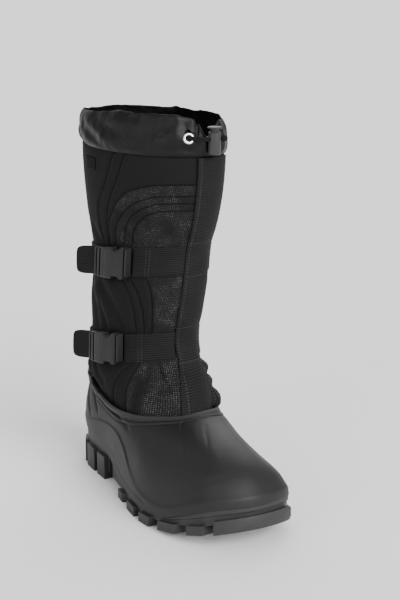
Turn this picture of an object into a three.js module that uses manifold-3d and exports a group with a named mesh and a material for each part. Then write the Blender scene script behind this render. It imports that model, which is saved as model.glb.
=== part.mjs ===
// A tall right-foot winter boot: a moulded rubber shell on a lugged rubber outsole, a padded fabric shaft
// cinched by two buckled straps, a front tape and a gathered snow collar with a drawcord and a cord lock.
// Millimetres, +Z up, the toe towards -Y, the foot's outer side towards -X. The finished group stands with
// its origin under the middle of its own box.
import * as THREE from "three";
import { mergeVertices } from "three/addons/utils/BufferGeometryUtils.js";
import Module from "manifold-3d";

// Driving dimensions
const SOLE_LENGTH = 318;
const BALL_WIDTH = 131;
const SHELL_HEIGHT = 107;
const SHELL_WALL = 3;
const BOOT_HEIGHT = 374;
const SHAFT_LENGTH = 170;
const SHAFT_WIDTH = 112;
const SHAFT_WALL = 3;
const SNOW_COLLAR_WALL = 1.6;
const GAP = 0.3;

// Outsole
const HEEL_THICKNESS = 39;
const TOE_SPRING = 20;
const LUG_DEPTH = 7.5;
const LUG_PROUD = 3;
const LUG_WINDOW_DEPTH = 3.5;
const STUD_DEPTH = 3;
const SIDE_STEP = 1.2;
const SOLE_RIM = 1.5;

// Shell
const RAND_STEP = 1.4;
const RIM_HEIGHT = 7;
const RIM_STEP = 1.5;

// Insole
const INSOLE_THICKNESS = 4;
const INSOLE_MARGIN = 1;

// Webbing
const STRAP_WIDTH = 29;
const STRAP_THICKNESS = 1.6;
const TAPE_WIDTH = 31;
const TAPE_THICKNESS = 1.8;
const TAIL_LENGTH = 21;
const TAIL_LIFT = 14;

// Buckles
const BUCKLE_START = 50;
const BUCKLE_HEIGHT = 33;
const BUCKLE_THICKNESS = 8;
const BUCKLE_WALL = 1.5;
const SOCKET_LENGTH = 34;
const PRONG_LENGTH = 17;
const ARM_LENGTH = 18;
const ARM_WIDTH = 5;

// Drawcord and its lock
const CORD_DIAMETER = 2.8;
const EYELET_OUTER = 11;
const EYELET_HOLE = 6;
const EYELET_THICKNESS = 1.4;
const LOCK_DIAMETER = 12;
const LOCK_LENGTH = 22;
const LOCK_BORE = 8.6;
const LOCK_FLOOR = 2.5;
const BUTTON_DIAMETER = 8;
const BUTTON_CAP_DIAMETER = 14;
const BUTTON_CAP_THICKNESS = 1.8;
const BUTTON_TRAVEL = 2.5;
const KNOT_DIAMETER = 8;

// How finely the curved forms are cut
const SOLE_STATIONS = 24;
const ROUND_SIDES = 14;
const CORD_SIDES = 8;
const FINEST = 0.01;

const wasm = await Module();
wasm.setup();

// Sole outline over the lugs, from the heel's back round the outer side to the toe and back.
// along is a share of SOLE_LENGTH and across a share of BALL_WIDTH, outer side negative. The other columns
// are the rib that the shell follows from there up to its collar: where it ends, in the same shares and as
// a share of SHELL_HEIGHT, and the two handles of its curve. The lower one is rise over the sole, a share
// of SHELL_HEIGHT, and flare outside it, a share of BALL_WIDTH. The upper one is a share, pull, of the way
// from collar to sole, and sink below the collar, a share of SHELL_HEIGHT.
const RIBS = [
  {
    along: 0.0, across: 0.0, endAlong: 0.024, endAcross: 0.0, top: 1.0,
    rise: 0.3, pull: 0.2, sink: 0.25, flare: 0.05,
  },
  {
    along: 0.04, across: -0.234, endAlong: 0.052, endAcross: -0.18, top: 0.97,
    rise: 0.3, pull: 0.2, sink: 0.25, flare: 0.05,
  },
  {
    along: 0.142, across: -0.355, endAlong: 0.135, endAcross: -0.305, top: 0.89,
    rise: 0.28, pull: 0.25, sink: 0.22, flare: 0.045,
  },
  {
    along: 0.31, across: -0.375, endAlong: 0.27, endAcross: -0.352, top: 0.81,
    rise: 0.25, pull: 0.3, sink: 0.18, flare: 0.02,
  },
  {
    along: 0.47, across: -0.44, endAlong: 0.385, endAcross: -0.345, top: 0.77,
    rise: 0.26, pull: 0.45, sink: 0.12, flare: 0.0,
  },
  {
    along: 0.63, across: -0.497, endAlong: 0.475, endAcross: -0.285, top: 0.77,
    rise: 0.32, pull: 0.53, sink: 0.08, flare: 0.0,
  },
  {
    along: 0.77, across: -0.464, endAlong: 0.53, endAcross: -0.195, top: 0.79,
    rise: 0.38, pull: 0.53, sink: 0.07, flare: 0.0,
  },
  {
    along: 0.885, across: -0.372, endAlong: 0.565, endAcross: -0.1, top: 0.81,
    rise: 0.41, pull: 0.56, sink: 0.05, flare: 0.0,
  },
  {
    along: 0.96, across: -0.245, endAlong: 0.58, endAcross: -0.02, top: 0.825,
    rise: 0.41, pull: 0.58, sink: 0.04, flare: 0.0,
  },
  {
    along: 1.0, across: 0.02, endAlong: 0.586, endAcross: 0.06, top: 0.83,
    rise: 0.39, pull: 0.58, sink: 0.045, flare: 0.0,
  },
  {
    along: 0.96, across: 0.32, endAlong: 0.58, endAcross: 0.14, top: 0.825,
    rise: 0.35, pull: 0.53, sink: 0.09, flare: 0.0,
  },
  {
    along: 0.885, across: 0.437, endAlong: 0.562, endAcross: 0.215, top: 0.81,
    rise: 0.32, pull: 0.46, sink: 0.13, flare: 0.0,
  },
  {
    along: 0.75, across: 0.503, endAlong: 0.518, endAcross: 0.29, top: 0.79,
    rise: 0.29, pull: 0.4, sink: 0.16, flare: 0.0,
  },
  {
    along: 0.61, across: 0.458, endAlong: 0.45, endAcross: 0.33, top: 0.77,
    rise: 0.3, pull: 0.42, sink: 0.14, flare: 0.0,
  },
  {
    along: 0.47, across: 0.3, endAlong: 0.355, endAcross: 0.34, top: 0.77,
    rise: 0.32, pull: 0.35, sink: 0.15, flare: 0.0,
  },
  {
    along: 0.32, across: 0.262, endAlong: 0.255, endAcross: 0.33, top: 0.81,
    rise: 0.3, pull: 0.3, sink: 0.2, flare: 0.02,
  },
  {
    along: 0.142, across: 0.305, endAlong: 0.135, endAcross: 0.285, top: 0.89,
    rise: 0.28, pull: 0.25, sink: 0.22, flare: 0.04,
  },
  {
    along: 0.04, across: 0.24, endAlong: 0.052, endAcross: 0.17, top: 0.97,
    rise: 0.3, pull: 0.2, sink: 0.25, flare: 0.05,
  },
];

// Heights along the sole, as shares of HEEL_THICKNESS: seam is the line between outsole and shell, and
// footbed the outsole's upper face. rand is the wavy upper edge of the shell's raised band, as a share of
// SHELL_HEIGHT, and under the outsole's underside between its lugs, as a share of LUG_DEPTH.
const LEVELS = [
  { along: 0.0, seam: 1.0, footbed: 0.8, rand: 0.47, under: 1.3 },
  { along: 0.17, seam: 1.0, footbed: 0.78, rand: 0.5, under: 1.3 },
  { along: 0.27, seam: 1.0, footbed: 0.75, rand: 0.57, under: 1.2 },
  { along: 0.32, seam: 0.95, footbed: 0.7, rand: 0.59, under: 1.1 },
  { along: 0.385, seam: 0.76, footbed: 0.6, rand: 0.6, under: 1.0 },
  { along: 0.45, seam: 0.46, footbed: 0.42, rand: 0.59, under: 1.0 },
  { along: 0.51, seam: 0.38, footbed: 0.34, rand: 0.52, under: 1.0 },
  { along: 0.57, seam: 0.36, footbed: 0.33, rand: 0.33, under: 1.0 },
  { along: 0.64, seam: 0.37, footbed: 0.335, rand: 0.255, under: 1.0 },
  { along: 0.73, seam: 0.38, footbed: 0.35, rand: 0.22, under: 1.0 },
  { along: 0.82, seam: 0.5, footbed: 0.45, rand: 0.27, under: 1.05 },
  { along: 0.885, seam: 0.78, footbed: 0.58, rand: 0.38, under: 1.1 },
  { along: 0.97, seam: 1.02, footbed: 0.8, rand: 0.45, under: 1.1 },
  { along: 1.0, seam: 1.05, footbed: 0.87, rand: 0.47, under: 1.1 },
];
const SPRING_START = 0.62;

// Lugs of each side. at, wide, neck, skew, tip and turn are shares of SOLE_LENGTH, reach and ramp of
// BALL_WIDTH. A lug is wide at the sole's edge and neck across at its reach, where it is skewed forwards,
// and then falls to the underside over its ramp, where it is tip across and turned forwards.
const OUTER_LUGS = [
  { at: 0.897, wide: 0.05, neck: 0.05, skew: -0.011, reach: 0.133, ramp: 0.24, tip: 0.03, turn: -0.034 },
  { at: 0.793, wide: 0.072, neck: 0.072, skew: 0.0, reach: 0.205, ramp: 0.275, tip: 0.046, turn: -0.014 },
  { at: 0.682, wide: 0.059, neck: 0.05, skew: 0.006, reach: 0.178, ramp: 0.267, tip: 0.036, turn: 0.0 },
  { at: 0.584, wide: 0.068, neck: 0.062, skew: 0.003, reach: 0.172, ramp: 0.255, tip: 0.048, turn: 0.017 },
  { at: 0.474, wide: 0.044, neck: 0.05, skew: 0.032, reach: 0.147, ramp: 0.25, tip: 0.03, turn: 0.03 },
  { at: 0.265, wide: 0.06, neck: 0.05, skew: 0.0, reach: 0.157, ramp: 0.225, tip: 0.028, turn: -0.018 },
  { at: 0.178, wide: 0.066, neck: 0.056, skew: -0.003, reach: 0.144, ramp: 0.205, tip: 0.04, turn: 0.015 },
  { at: 0.084, wide: 0.052, neck: 0.038, skew: 0.02, reach: 0.115, ramp: 0.18, tip: 0.032, turn: 0.024 },
];
const INNER_LUGS = [
  { at: 0.897, wide: 0.05, neck: 0.052, skew: -0.013, reach: 0.136, ramp: 0.215, tip: 0.03, turn: -0.04 },
  { at: 0.795, wide: 0.077, neck: 0.075, skew: -0.008, reach: 0.216, ramp: 0.32, tip: 0.03, turn: -0.006 },
  { at: 0.687, wide: 0.064, neck: 0.05, skew: 0.0, reach: 0.148, ramp: 0.244, tip: 0.044, turn: 0.002 },
  { at: 0.588, wide: 0.065, neck: 0.06, skew: -0.004, reach: 0.188, ramp: 0.275, tip: 0.038, turn: 0.012 },
  { at: 0.475, wide: 0.042, neck: 0.034, skew: 0.02, reach: 0.12, ramp: 0.205, tip: 0.026, turn: 0.03 },
  { at: 0.272, wide: 0.066, neck: 0.05, skew: -0.004, reach: 0.146, ramp: 0.206, tip: 0.04, turn: -0.011 },
  { at: 0.185, wide: 0.062, neck: 0.054, skew: 0.0, reach: 0.152, ramp: 0.201, tip: 0.032, turn: 0.0 },
  { at: 0.084, wide: 0.052, neck: 0.038, skew: 0.02, reach: 0.115, ramp: 0.18, tip: 0.032, turn: 0.024 },
];
const LUG_WINDOW_SHARE = 0.5;
const HEEL_LUG_TOP = 0.62;
const LUG_TOP = 1.25;

// Low studs down the middle, each a triangle between two that point the other way. at and long are shares
// of SOLE_LENGTH, across and half of BALL_WIDTH, and point is 1 towards the toe and -1 towards the heel.
const STUDS = [
  { at: 0.784, across: 0.035, half: 0.11, long: 0.062, point: -1 },
  { at: 0.692, across: 0.105, half: 0.085, long: 0.058, point: 1 },
  { at: 0.692, across: -0.075, half: 0.085, long: 0.058, point: 1 },
  { at: 0.606, across: -0.01, half: 0.11, long: 0.055, point: -1 },
  { at: 0.52, across: -0.03, half: 0.1, long: 0.052, point: -1 },
  { at: 0.27, across: 0.0, half: 0.085, long: 0.05, point: -1 },
  { at: 0.19, across: 0.0, half: 0.085, long: 0.054, point: 1 },
  { at: 0.112, across: 0.005, half: 0.05, long: 0.042, point: 1 },
];

// The plates at the toe and the heel: how far the outline's turn is followed to each side of the tip, the
// narrow end's place and half width, and the height. The breast groove's start, end and height.
const PLATES = [
  { tip: 0.5, spread: 0.064, endAlong: 0.885, endAcross: 0.02, endHalf: 0.092, thick: 1.8 },
  { tip: 0.0, spread: 0.05, endAlong: 0.1, endAcross: 0.0, endHalf: 0.1, thick: 0.62 },
];
const BREAST = { start: 0.311, end: 0.343, height: 0.64 };

// The shaft's level sections. rise and climb are shares of BOOT_HEIGHT: the height at the flanks, and how
// much higher the nose is. back is a share of SOLE_LENGTH, across and width of SHAFT_WIDTH, length of
// SHAFT_LENGTH, and turn is how far the nose is turned towards the inner side, in degrees.
const SHAFT = [
  { rise: 0.3352, climb: 0.0255, back: 0.04, across: 0.045, length: 0.815, width: 0.8, turn: 14 },
  { rise: 0.3738, climb: 0.0265, back: 0.04, across: 0.046, length: 0.798, width: 0.775, turn: 14 },
  { rise: 0.4114, climb: 0.0275, back: 0.04, across: 0.048, length: 0.808, width: 0.785, turn: 14 },
  { rise: 0.4389, climb: 0.0305, back: 0.039, across: 0.055, length: 0.84, width: 0.82, turn: 13 },
  { rise: 0.4877, climb: 0.0295, back: 0.038, across: 0.065, length: 0.855, width: 0.83, turn: 13.5 },
  { rise: 0.5385, climb: 0.0284, back: 0.038, across: 0.08, length: 0.868, width: 0.845, turn: 14 },
  { rise: 0.5715, climb: 0.0214, back: 0.039, across: 0.095, length: 0.852, width: 0.825, turn: 14.5 },
  { rise: 0.6102, climb: 0.0204, back: 0.04, across: 0.108, length: 0.845, width: 0.82, turn: 15 },
  { rise: 0.6491, climb: 0.0194, back: 0.04, across: 0.108, length: 0.86, width: 0.835, turn: 15.5 },
  { rise: 0.6787, climb: 0.0224, back: 0.04, across: 0.104, length: 0.905, width: 0.875, turn: 16 },
  { rise: 0.7488, climb: 0.0152, back: 0.041, across: 0.097, length: 0.95, width: 0.925, turn: 17 },
  { rise: 0.826, climb: 0.0051, back: 0.041, across: 0.09, length: 0.985, width: 0.98, turn: 17.5 },
  { rise: 0.9094, climb: -0.0051, back: 0.04, across: 0.085, length: 1.0, width: 1.0, turn: 18 },
];
const NOSE_PINCH = 0.06;
const COLLAR_RISE = 0.244;

// The straps' names, and which of the shaft's sections runs along the middle of each.
const STRAPS = [
  { name: "lower", middle: 1 },
  { name: "upper", middle: 7 },
];

// The padded roll of fabric between the shell's collar and the first section: share of the way up, and how
// far it stands out as a share of SHAFT_LENGTH, all round and besides on the nose's inner side.
const INSTEP = [
  { way: 0.0, puff: 0.0, inner: 0.0 },
  { way: 0.16, puff: 0.022, inner: 0.09 },
  { way: 0.42, puff: 0.034, inner: 0.055 },
  { way: 0.72, puff: 0.024, inner: 0.025 },
  { way: 1.0, puff: 0.0, inner: 0.0 },
];

const INNER_PUFF_TURN = 0.61;
const INNER_PUFF_SPREAD = 0.07;

// The snow collar's sections. rise and climb are shares of BOOT_HEIGHT, swell is how far the section
// stands out past the shaft's top as a share of SHAFT_WIDTH, and dip is how much the gathered front drops.
const SNOW_COLLAR = [
  { rise: 0.911, climb: -0.005, swell: 0.008, dip: 0.0 },
  { rise: 0.925, climb: -0.004, swell: 0.024, dip: 0.0 },
  { rise: 0.95, climb: -0.003, swell: 0.024, dip: 0.28 },
  { rise: 0.976, climb: -0.003, swell: 0.01, dip: 0.65 },
  { rise: 0.997, climb: -0.003, swell: -0.022, dip: 1.0 },
];
const GATHER_DEPTH = 20;
const GATHER_TURN = 0.465;
const GATHER_SPREAD = 0.035;

// Where the eyelet and the cord lock sit on the snow collar: turns past the nose, and heights over
// BOOT_HEIGHT. The lock's foot is at its rise, and it leans on the collar's fuller section at against.
const EYELET = { turn: -0.195, rise: 0.963 };
const LOCK = { turn: -0.05, rise: 0.914, against: 0.945 };

const lerp = THREE.MathUtils.lerp;

// Interpolates a table's column through its rows, by a value of its key column.
function between(table, key, name, at) {
  const last = table.length - 1;
  const held = THREE.MathUtils.clamp(at, table[0][key], table[last][key]);
  const next = table.findIndex((row) => row[key] > held);
  const i = (next < 0 ? last : next) - 1;
  const share = (held - table[i][key]) / (table[i + 1][key] - table[i][key]);
  const eased = lerp(share, THREE.MathUtils.smoothstep(share, 0, 1), 0.5);
  return lerp(table[i][name], table[i + 1][name], eased);
}

// A closed smooth curve through a column of RIBS, for a turn of 0 to 1 from the heel's back.
function around(name, turn) {
  const n = RIBS.length;
  const at = (((turn % 1) + 1) % 1) * n;
  const i = Math.floor(at);
  const t = at - i;
  const [a, b, c, d] = [-1, 0, 1, 2].map((k) => RIBS[(i + k + n) % n][name]);
  return b + 0.5 * t * (c - a + t * (2 * a - 5 * b + 4 * c - d + t * (3 * b - a - 3 * c + d)));
}

// Finds the value between two ends where before(value) turns from true to false.
function seek(start, end, before) {
  let [from, to] = [start, end];
  for (let i = 0; i < 26; i += 1) {
    const middle = (from + to) / 2;
    if (before(middle)) from = middle;
    else to = middle;
  }
  return (from + to) / 2;
}

// A point of the model from distances along and across the sole and a height.
const place = (along, across, height) => new THREE.Vector3(across, -along, height);

function springAt(share) {
  const past = Math.max(share - SPRING_START, 0) / (1 - SPRING_START);
  return TOE_SPRING * past * past;
}
const seamAt = (share) => between(LEVELS, "along", "seam", share) * HEEL_THICKNESS;
const underAt = (share) => between(LEVELS, "along", "under", share) * LUG_DEPTH + springAt(share);

// The sole's outline at a turn, moved inwards, as distances along (x) and across (y).
function outlineAt(turn, inset) {
  const step = 0.002;
  const point = (t) => new THREE.Vector2(around("along", t) * SOLE_LENGTH, around("across", t) * BALL_WIDTH);
  const run = point(turn + step).sub(point(turn - step)).normalize();
  return point(turn).add(new THREE.Vector2(-run.y, run.x).multiplyScalar(inset));
}

// The turn on one side at which the outline is at a share of the sole's length.
const turnAt = (share, side) => seek(side < 0 ? 0 : 1, 0.5, (turn) => around("along", turn) < share);
const edgeAt = (share, side) => outlineAt(turnAt(share, side), 0).y;

// The turns of all columns: both sides at the same places along, so that a strip across joins two columns.
const shares = Array.from(
  { length: SOLE_STATIONS - 1 },
  (_, i) => (1 - Math.cos((Math.PI * (i + 1)) / SOLE_STATIONS)) / 2,
);
const TURNS = [
  0,
  ...shares.map((share) => turnAt(share, -1)),
  0.5,
  ...[...shares].reverse().map((share) => turnAt(share, 1)),
];

// Triangles between loops of points, the last joined to the first where the wall closes into a ring.
function skin(loops, ring) {
  const m = loops[0].length;
  const index = [];
  for (let i = 0; i < (ring ? loops.length : loops.length - 1); i += 1) {
    const next = ((i + 1) % loops.length) * m;
    for (let j = 0; j < m; j += 1) {
      const k = (j + 1) % m;
      index.push(i * m + j, i * m + k, next + k, i * m + j, next + k, next + j);
    }
  }
  return index;
}

// A closed wall that bends round into itself, from its loops.
const ringGeometry = (loops) =>
  new THREE.BufferGeometry().setFromPoints(loops.flat()).setIndex(skin(loops, true));

// A closed loft, each end closed by strips between the points that face each other across it. tipped
// says that a loop's first point faces itself. Without it the first point faces the last one.
function loftGeometry(loops, tipped = false) {
  const m = loops[0].length;
  const index = skin(loops, false);
  const last = (loops.length - 1) * m;
  const facing = (i) => (tipped ? (m - i) % m : m - 1 - i);
  for (let i = 0; i < (tipped ? m / 2 : m / 2 - 1); i += 1) {
    const [a, b, c, d] = [i, i + 1, facing(i + 1), facing(i)];
    if (b !== c) index.push(a, c, b, last + a, last + b, last + c);
    if (a !== d) index.push(a, d, c, last + a, last + c, last + d);
  }
  return new THREE.BufferGeometry().setFromPoints(loops.flat()).setIndex(index);
}

// An upright prism over a plan polygon, with its own low and high height at each corner.
function prismGeometry(plan) {
  const flatOf = (corners) => corners.map((c) => new THREE.Vector2(c.across, -c.along));
  const corners = THREE.ShapeUtils.isClockWise(flatOf(plan)) ? [...plan].reverse() : plan;
  const n = corners.length;
  const points = ["low", "high"].flatMap((end) => corners.map((c) => place(c.along, c.across, c[end])));
  const index = [];
  for (const [a, b, c] of THREE.ShapeUtils.triangulateShape(flatOf(corners), [])) {
    index.push(a, c, b, a + n, b + n, c + n);
  }
  for (let i = 0; i < n; i += 1) {
    const j = (i + 1) % n;
    index.push(i, j, j + n, i, j + n, i + n);
  }
  return new THREE.BufferGeometry().setFromPoints(points).setIndex(index);
}

// A solid of a closed geometry, its doubled points merged and its faces turned outwards.
function solidOf(geometry) {
  const bare = new THREE.BufferGeometry().setAttribute("position", geometry.getAttribute("position"));
  if (geometry.getIndex()) bare.setIndex(geometry.getIndex());
  const merged = mergeVertices(bare, 1e-4);
  const position = merged.getAttribute("position");
  const corner = (i) => new THREE.Vector3().fromBufferAttribute(position, i);
  const index = [];
  let volume = 0;
  for (let i = 0; i < merged.index.count; i += 3) {
    const [a, b, c] = [0, 1, 2].map((k) => merged.index.getX(i + k));
    if (a !== b && b !== c && c !== a) {
      index.push(a, b, c);
      volume += corner(a).dot(corner(b).cross(corner(c)));
    }
  }
  return new wasm.Manifold(new wasm.Mesh({
    numProp: 3,
    vertProperties: new Float32Array(position.array),
    triVerts: new Uint32Array(volume < 0 ? index.reverse() : index),
  }));
}

function geometryOf(solid) {
  const mesh = solid.simplify(FINEST).getMesh();
  return new THREE.BufferGeometry()
    .setAttribute("position", new THREE.BufferAttribute(new Float32Array(mesh.vertProperties), 3))
    .setIndex(new THREE.BufferAttribute(new Uint32Array(mesh.triVerts), 1));
}

// Outsole
// A loop round the sole at an inset, its heights worked out from each turn's share of the length.
function soleLoop(inset, heightAt) {
  return TURNS.map((turn) => {
    const p = outlineAt(turn, inset);
    return place(p.x, p.y, heightAt(around("along", turn)));
  });
}

const footbedInset = LUG_PROUD + SHELL_WALL + 2 * SOLE_RIM;
const footbedLoop = soleLoop(footbedInset, (share) => Math.min(
  between(LEVELS, "along", "footbed", share) * HEEL_THICKNESS,
  seamAt(share) - GAP / 2 - 0.5,
));

function outsoleBody() {
  const seam = (share) => seamAt(share) - GAP / 2;
  const ledge = (share) => lerp(underAt(share), seam(share), 0.6);
  return solidOf(loftGeometry([
    soleLoop(LUG_PROUD + SIDE_STEP, underAt),
    soleLoop(LUG_PROUD + SIDE_STEP, ledge),
    soleLoop(LUG_PROUD, (share) => Math.min(ledge(share) + SIDE_STEP, seam(share) - 0.5)),
    soleLoop(LUG_PROUD, seam),
    soleLoop(LUG_PROUD + SHELL_WALL + SOLE_RIM, seam),
    footbedLoop,
  ], true));
}

// One side's lug with its ramp and window. side is -1 on the outer side and 1 on the inner one.
function lugSolid(row, side) {
  const corner = (at, reach, drop) => {
    const low = lerp(springAt(at), underAt(at), drop);
    const top = at < BREAST.start ? HEEL_THICKNESS * HEEL_LUG_TOP : LUG_DEPTH * LUG_TOP + springAt(at);
    const high = Math.max(top, underAt(at) + SIDE_STEP);
    return { along: at * SOLE_LENGTH, across: edgeAt(at, side) - side * reach * BALL_WIDTH, low, high };
  };
  const pair = (at, wide, reach, drop) => [-0.5, 0.5].map((end) => corner(at + end * wide, reach, drop));
  const outer = pair(row.at, row.wide, 0, 0);
  const neck = pair(row.at + row.skew, row.neck, row.reach, 0);
  const tip = pair(row.at + row.turn, row.tip, row.ramp, 1);
  const plan = [...outer, neck[1], neck[0]];
  const middle = {
    along: plan.reduce((sum, c) => sum + c.along / plan.length, 0),
    across: plan.reduce((sum, c) => sum + c.across / plan.length, 0),
  };
  const window = plan.map((c) => ({
    along: lerp(middle.along, c.along, LUG_WINDOW_SHARE),
    across: lerp(middle.across, c.across, LUG_WINDOW_SHARE),
    low: c.low - LUG_DEPTH,
    high: c.low + LUG_WINDOW_DEPTH,
  }));
  return solidOf(prismGeometry(plan))
    .add(solidOf(prismGeometry([...neck, tip[1], tip[0]])))
    .subtract(solidOf(prismGeometry(window)));
}

// The plate at the toe or the heel, from the outline's tip to a narrower end.
function plateSolid(row) {
  const steps = 12;
  const isToe = row.tip > 0;
  const rim = Array.from({ length: steps + 1 }, (_, i) =>
    outlineAt(row.tip + row.spread * ((2 * i) / steps - 1), 0));
  const ends = [1, -1].map((side) => new THREE.Vector2(
    row.endAlong * SOLE_LENGTH,
    (row.endAcross + side * row.endHalf * (isToe ? 1 : -1)) * BALL_WIDTH,
  ));
  return solidOf(prismGeometry([...rim, ...ends].map((p) => {
    const floor = springAt(p.x / SOLE_LENGTH);
    const high = isToe ? floor + row.thick * LUG_DEPTH : row.thick * HEEL_THICKNESS;
    return { along: p.x, across: p.y, low: floor, high };
  })));
}

function studSolid(row) {
  const half = (row.long * SOLE_LENGTH) / 2;
  const wide = row.half * BALL_WIDTH;
  const middle = row.at * SOLE_LENGTH;
  const across = row.across * BALL_WIDTH;
  const triangle = (shift, point, size) => solidOf(prismGeometry([
    { along: middle - point * half, across: across + shift - size },
    { along: middle - point * half, across: across + shift + size },
    { along: middle + point * half, across: across + shift },
  ].map((c) => {
    const under = underAt(c.along / SOLE_LENGTH);
    return { ...c, low: under - STUD_DEPTH, high: under + SIDE_STEP };
  })));
  return triangle(0, row.point, wide * 0.55)
    .add(triangle(-wide * 0.68, -row.point, wide * 0.36))
    .add(triangle(wide * 0.68, -row.point, wide * 0.36));
}

function outsoleGeometry() {
  const [start, end] = [BREAST.start * SOLE_LENGTH, BREAST.end * SOLE_LENGTH];
  const groove = solidOf(prismGeometry([
    { along: start, across: -BALL_WIDTH },
    { along: start, across: BALL_WIDTH },
    { along: end, across: BALL_WIDTH },
    { along: end, across: -BALL_WIDTH },
  ].map((c) => ({ ...c, low: -LUG_DEPTH, high: BREAST.height * HEEL_THICKNESS }))));
  let solid = outsoleBody().subtract(groove);
  for (const row of OUTER_LUGS) solid = solid.add(lugSolid(row, -1));
  for (const row of INNER_LUGS) solid = solid.add(lugSolid(row, 1));
  for (const row of PLATES) solid = solid.add(plateSolid(row));
  for (const row of STUDS) solid = solid.add(studSolid(row));
  return geometryOf(solid);
}

// Insole, in strips across the footbed with a margin at its sides
function insoleGeometry() {
  const m = footbedLoop.length;
  const side = (i, lift) => {
    const [p, over] = [footbedLoop[i], footbedLoop[(m - i) % m]];
    const share = Math.min(INSOLE_MARGIN / p.distanceTo(over), 0.45);
    return p.clone().lerp(over, share).add(new THREE.Vector3(0, 0, lift));
  };
  const stations = Array.from({ length: m / 2 - 1 }, (_, i) => i + 1);
  return geometryOf(solidOf(loftGeometry(stations.map((i) => [
    side(i, GAP),
    side(m - i, GAP),
    side(m - i, GAP + INSOLE_THICKNESS),
    side(i, GAP + INSOLE_THICKNESS),
  ]))));
}

// Shell
// The point of the shell's rib at a turn, from 0 at the sole to 1 at the collar.
function ribPoint(turn, way) {
  const base = outlineAt(turn, LUG_PROUD);
  const foot = place(base.x, base.y, seamAt(around("along", turn)) + GAP / 2);
  const collar = place(
    around("endAlong", turn) * SOLE_LENGTH,
    around("endAcross", turn) * BALL_WIDTH,
    around("top", turn) * SHELL_HEIGHT,
  );
  const flared = outlineAt(turn, LUG_PROUD - around("flare", turn) * BALL_WIDTH);
  const lower = place(flared.x, flared.y, foot.z + around("rise", turn) * SHELL_HEIGHT);
  const upper = collar.clone().lerp(new THREE.Vector3(foot.x, foot.y, collar.z), around("pull", turn));
  upper.z -= around("sink", turn) * SHELL_HEIGHT;
  return new THREE.CubicBezierCurve3(foot, lower, upper, collar).getPoint(way);
}

function ribNormal(turn, way) {
  const step = 0.004;
  const up = ribPoint(turn, Math.min(way + step, 1)).sub(ribPoint(turn, Math.max(way - step, 0)));
  const on = ribPoint(turn + step, way).sub(ribPoint(turn - step, way));
  return new THREE.Vector3().crossVectors(on, up).normalize();
}

// How far up a rib the raised band's edge lies.
function randWay(turn) {
  const share = around("along", turn);
  const goal = Math.max(
    between(LEVELS, "along", "rand", share) * SHELL_HEIGHT,
    seamAt(share) + 5 * RAND_STEP,
  );
  return seek(0, 0.7, (way) => ribPoint(turn, way).z < goal);
}

const rands = TURNS.map(randWay);
const rimWay = 1 - RIM_HEIGHT / SHELL_HEIGHT;
const mixed = (share) => (rand) => lerp(rand + 0.015, rimWay - 0.015, share);
const HEM_WAY = 0.8;

const ribLifted = (turn, way, lift) => ribPoint(turn, way).addScaledVector(ribNormal(turn, way), lift);

function shellGeometry() {
  const loop = (wayAt, lift) => TURNS.map((turn, j) => ribLifted(turn, wayAt(rands[j]), lift));
  const outer = [
    loop(() => 0, RAND_STEP),
    loop((rand) => rand * 0.5, RAND_STEP),
    loop((rand) => rand, RAND_STEP),
    ...[0, 0.25, 0.5, 0.75, 1].map((share) => loop(mixed(share), 0)),
    loop(() => rimWay, RIM_STEP),
    loop(() => 1, RIM_STEP),
  ];
  const inner = [
    loop(() => 0, -SHELL_WALL),
    loop((rand) => rand * 0.5, -SHELL_WALL),
    ...[0, HEM_WAY / 2, HEM_WAY, 1].map((share) => loop(mixed(share), -SHELL_WALL)),
    loop(() => 1, -SHELL_WALL),
  ];
  return geometryOf(solidOf(ringGeometry([...outer, ...inner.reverse()])));
}

// Shaft
// A point of a level section, at its own turn from the back round the outer side, lifted off it.
function sectionPoint(rise, turn, lift) {
  const of = (name) => between(SHAFT, "rise", name, rise);
  const halfLength = (of("length") * SHAFT_LENGTH) / 2;
  const halfWidth = (of("width") * SHAFT_WIDTH) / 2;
  const [nose, flank] = [-Math.cos(turn * 2 * Math.PI), -Math.sin(turn * 2 * Math.PI)];
  const swing = THREE.MathUtils.degToRad(of("turn"));
  const out = new THREE.Vector2(nose / halfLength, flank / halfWidth).normalize();
  const pinched = flank * (1 - NOSE_PINCH * Math.max(nose, 0) ** 2);
  const p = new THREE.Vector2(nose * halfLength + out.x * lift, pinched * halfWidth + out.y * lift)
    .rotateAround(new THREE.Vector2(), swing)
    .add(new THREE.Vector2(
      of("back") * SOLE_LENGTH + halfLength * Math.cos(swing),
      of("across") * SHAFT_WIDTH,
    ));
  return place(p.x, p.y, (rise + of("climb") * nose) * BOOT_HEIGHT);
}

// The shaft where it passes the inner edge of the shell's collar, and how deep it lies past the edge.
function hemPoint(turn, depth = 0) {
  const run = ribPoint(turn + 0.004, 1).sub(ribPoint(turn - 0.004, 1)).setZ(0).normalize();
  const away = new THREE.Vector3(-run.y, run.x, 0).sub(ribNormal(turn, 1)).normalize();
  return ribLifted(turn, 1, -SHELL_WALL).addScaledVector(away, 2.5 * GAP + depth);
}

// The section's own turn that lies in the direction of a column of the shell.
const firstFront = sectionPoint(SHAFT[0].rise, 0.5, 0).setZ(0);
const firstBack = sectionPoint(SHAFT[0].rise, 0, 0).setZ(0);
const firstMiddle = firstFront.clone().lerp(firstBack, 0.5);
const forwards = firstFront.clone().sub(firstMiddle);
const sideways = new THREE.Vector3(-forwards.y, forwards.x, 0)
  .setLength((SHAFT[0].width * SHAFT_WIDTH) / 2);
function sectionTurn(turn) {
  const p = hemPoint(turn).setZ(0).sub(firstMiddle);
  const nose = p.dot(forwards) / forwards.lengthSq();
  const flank = p.dot(sideways) / sideways.lengthSq();
  return (Math.atan2(-flank, -nose) / (2 * Math.PI) + 1) % 1;
}

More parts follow.
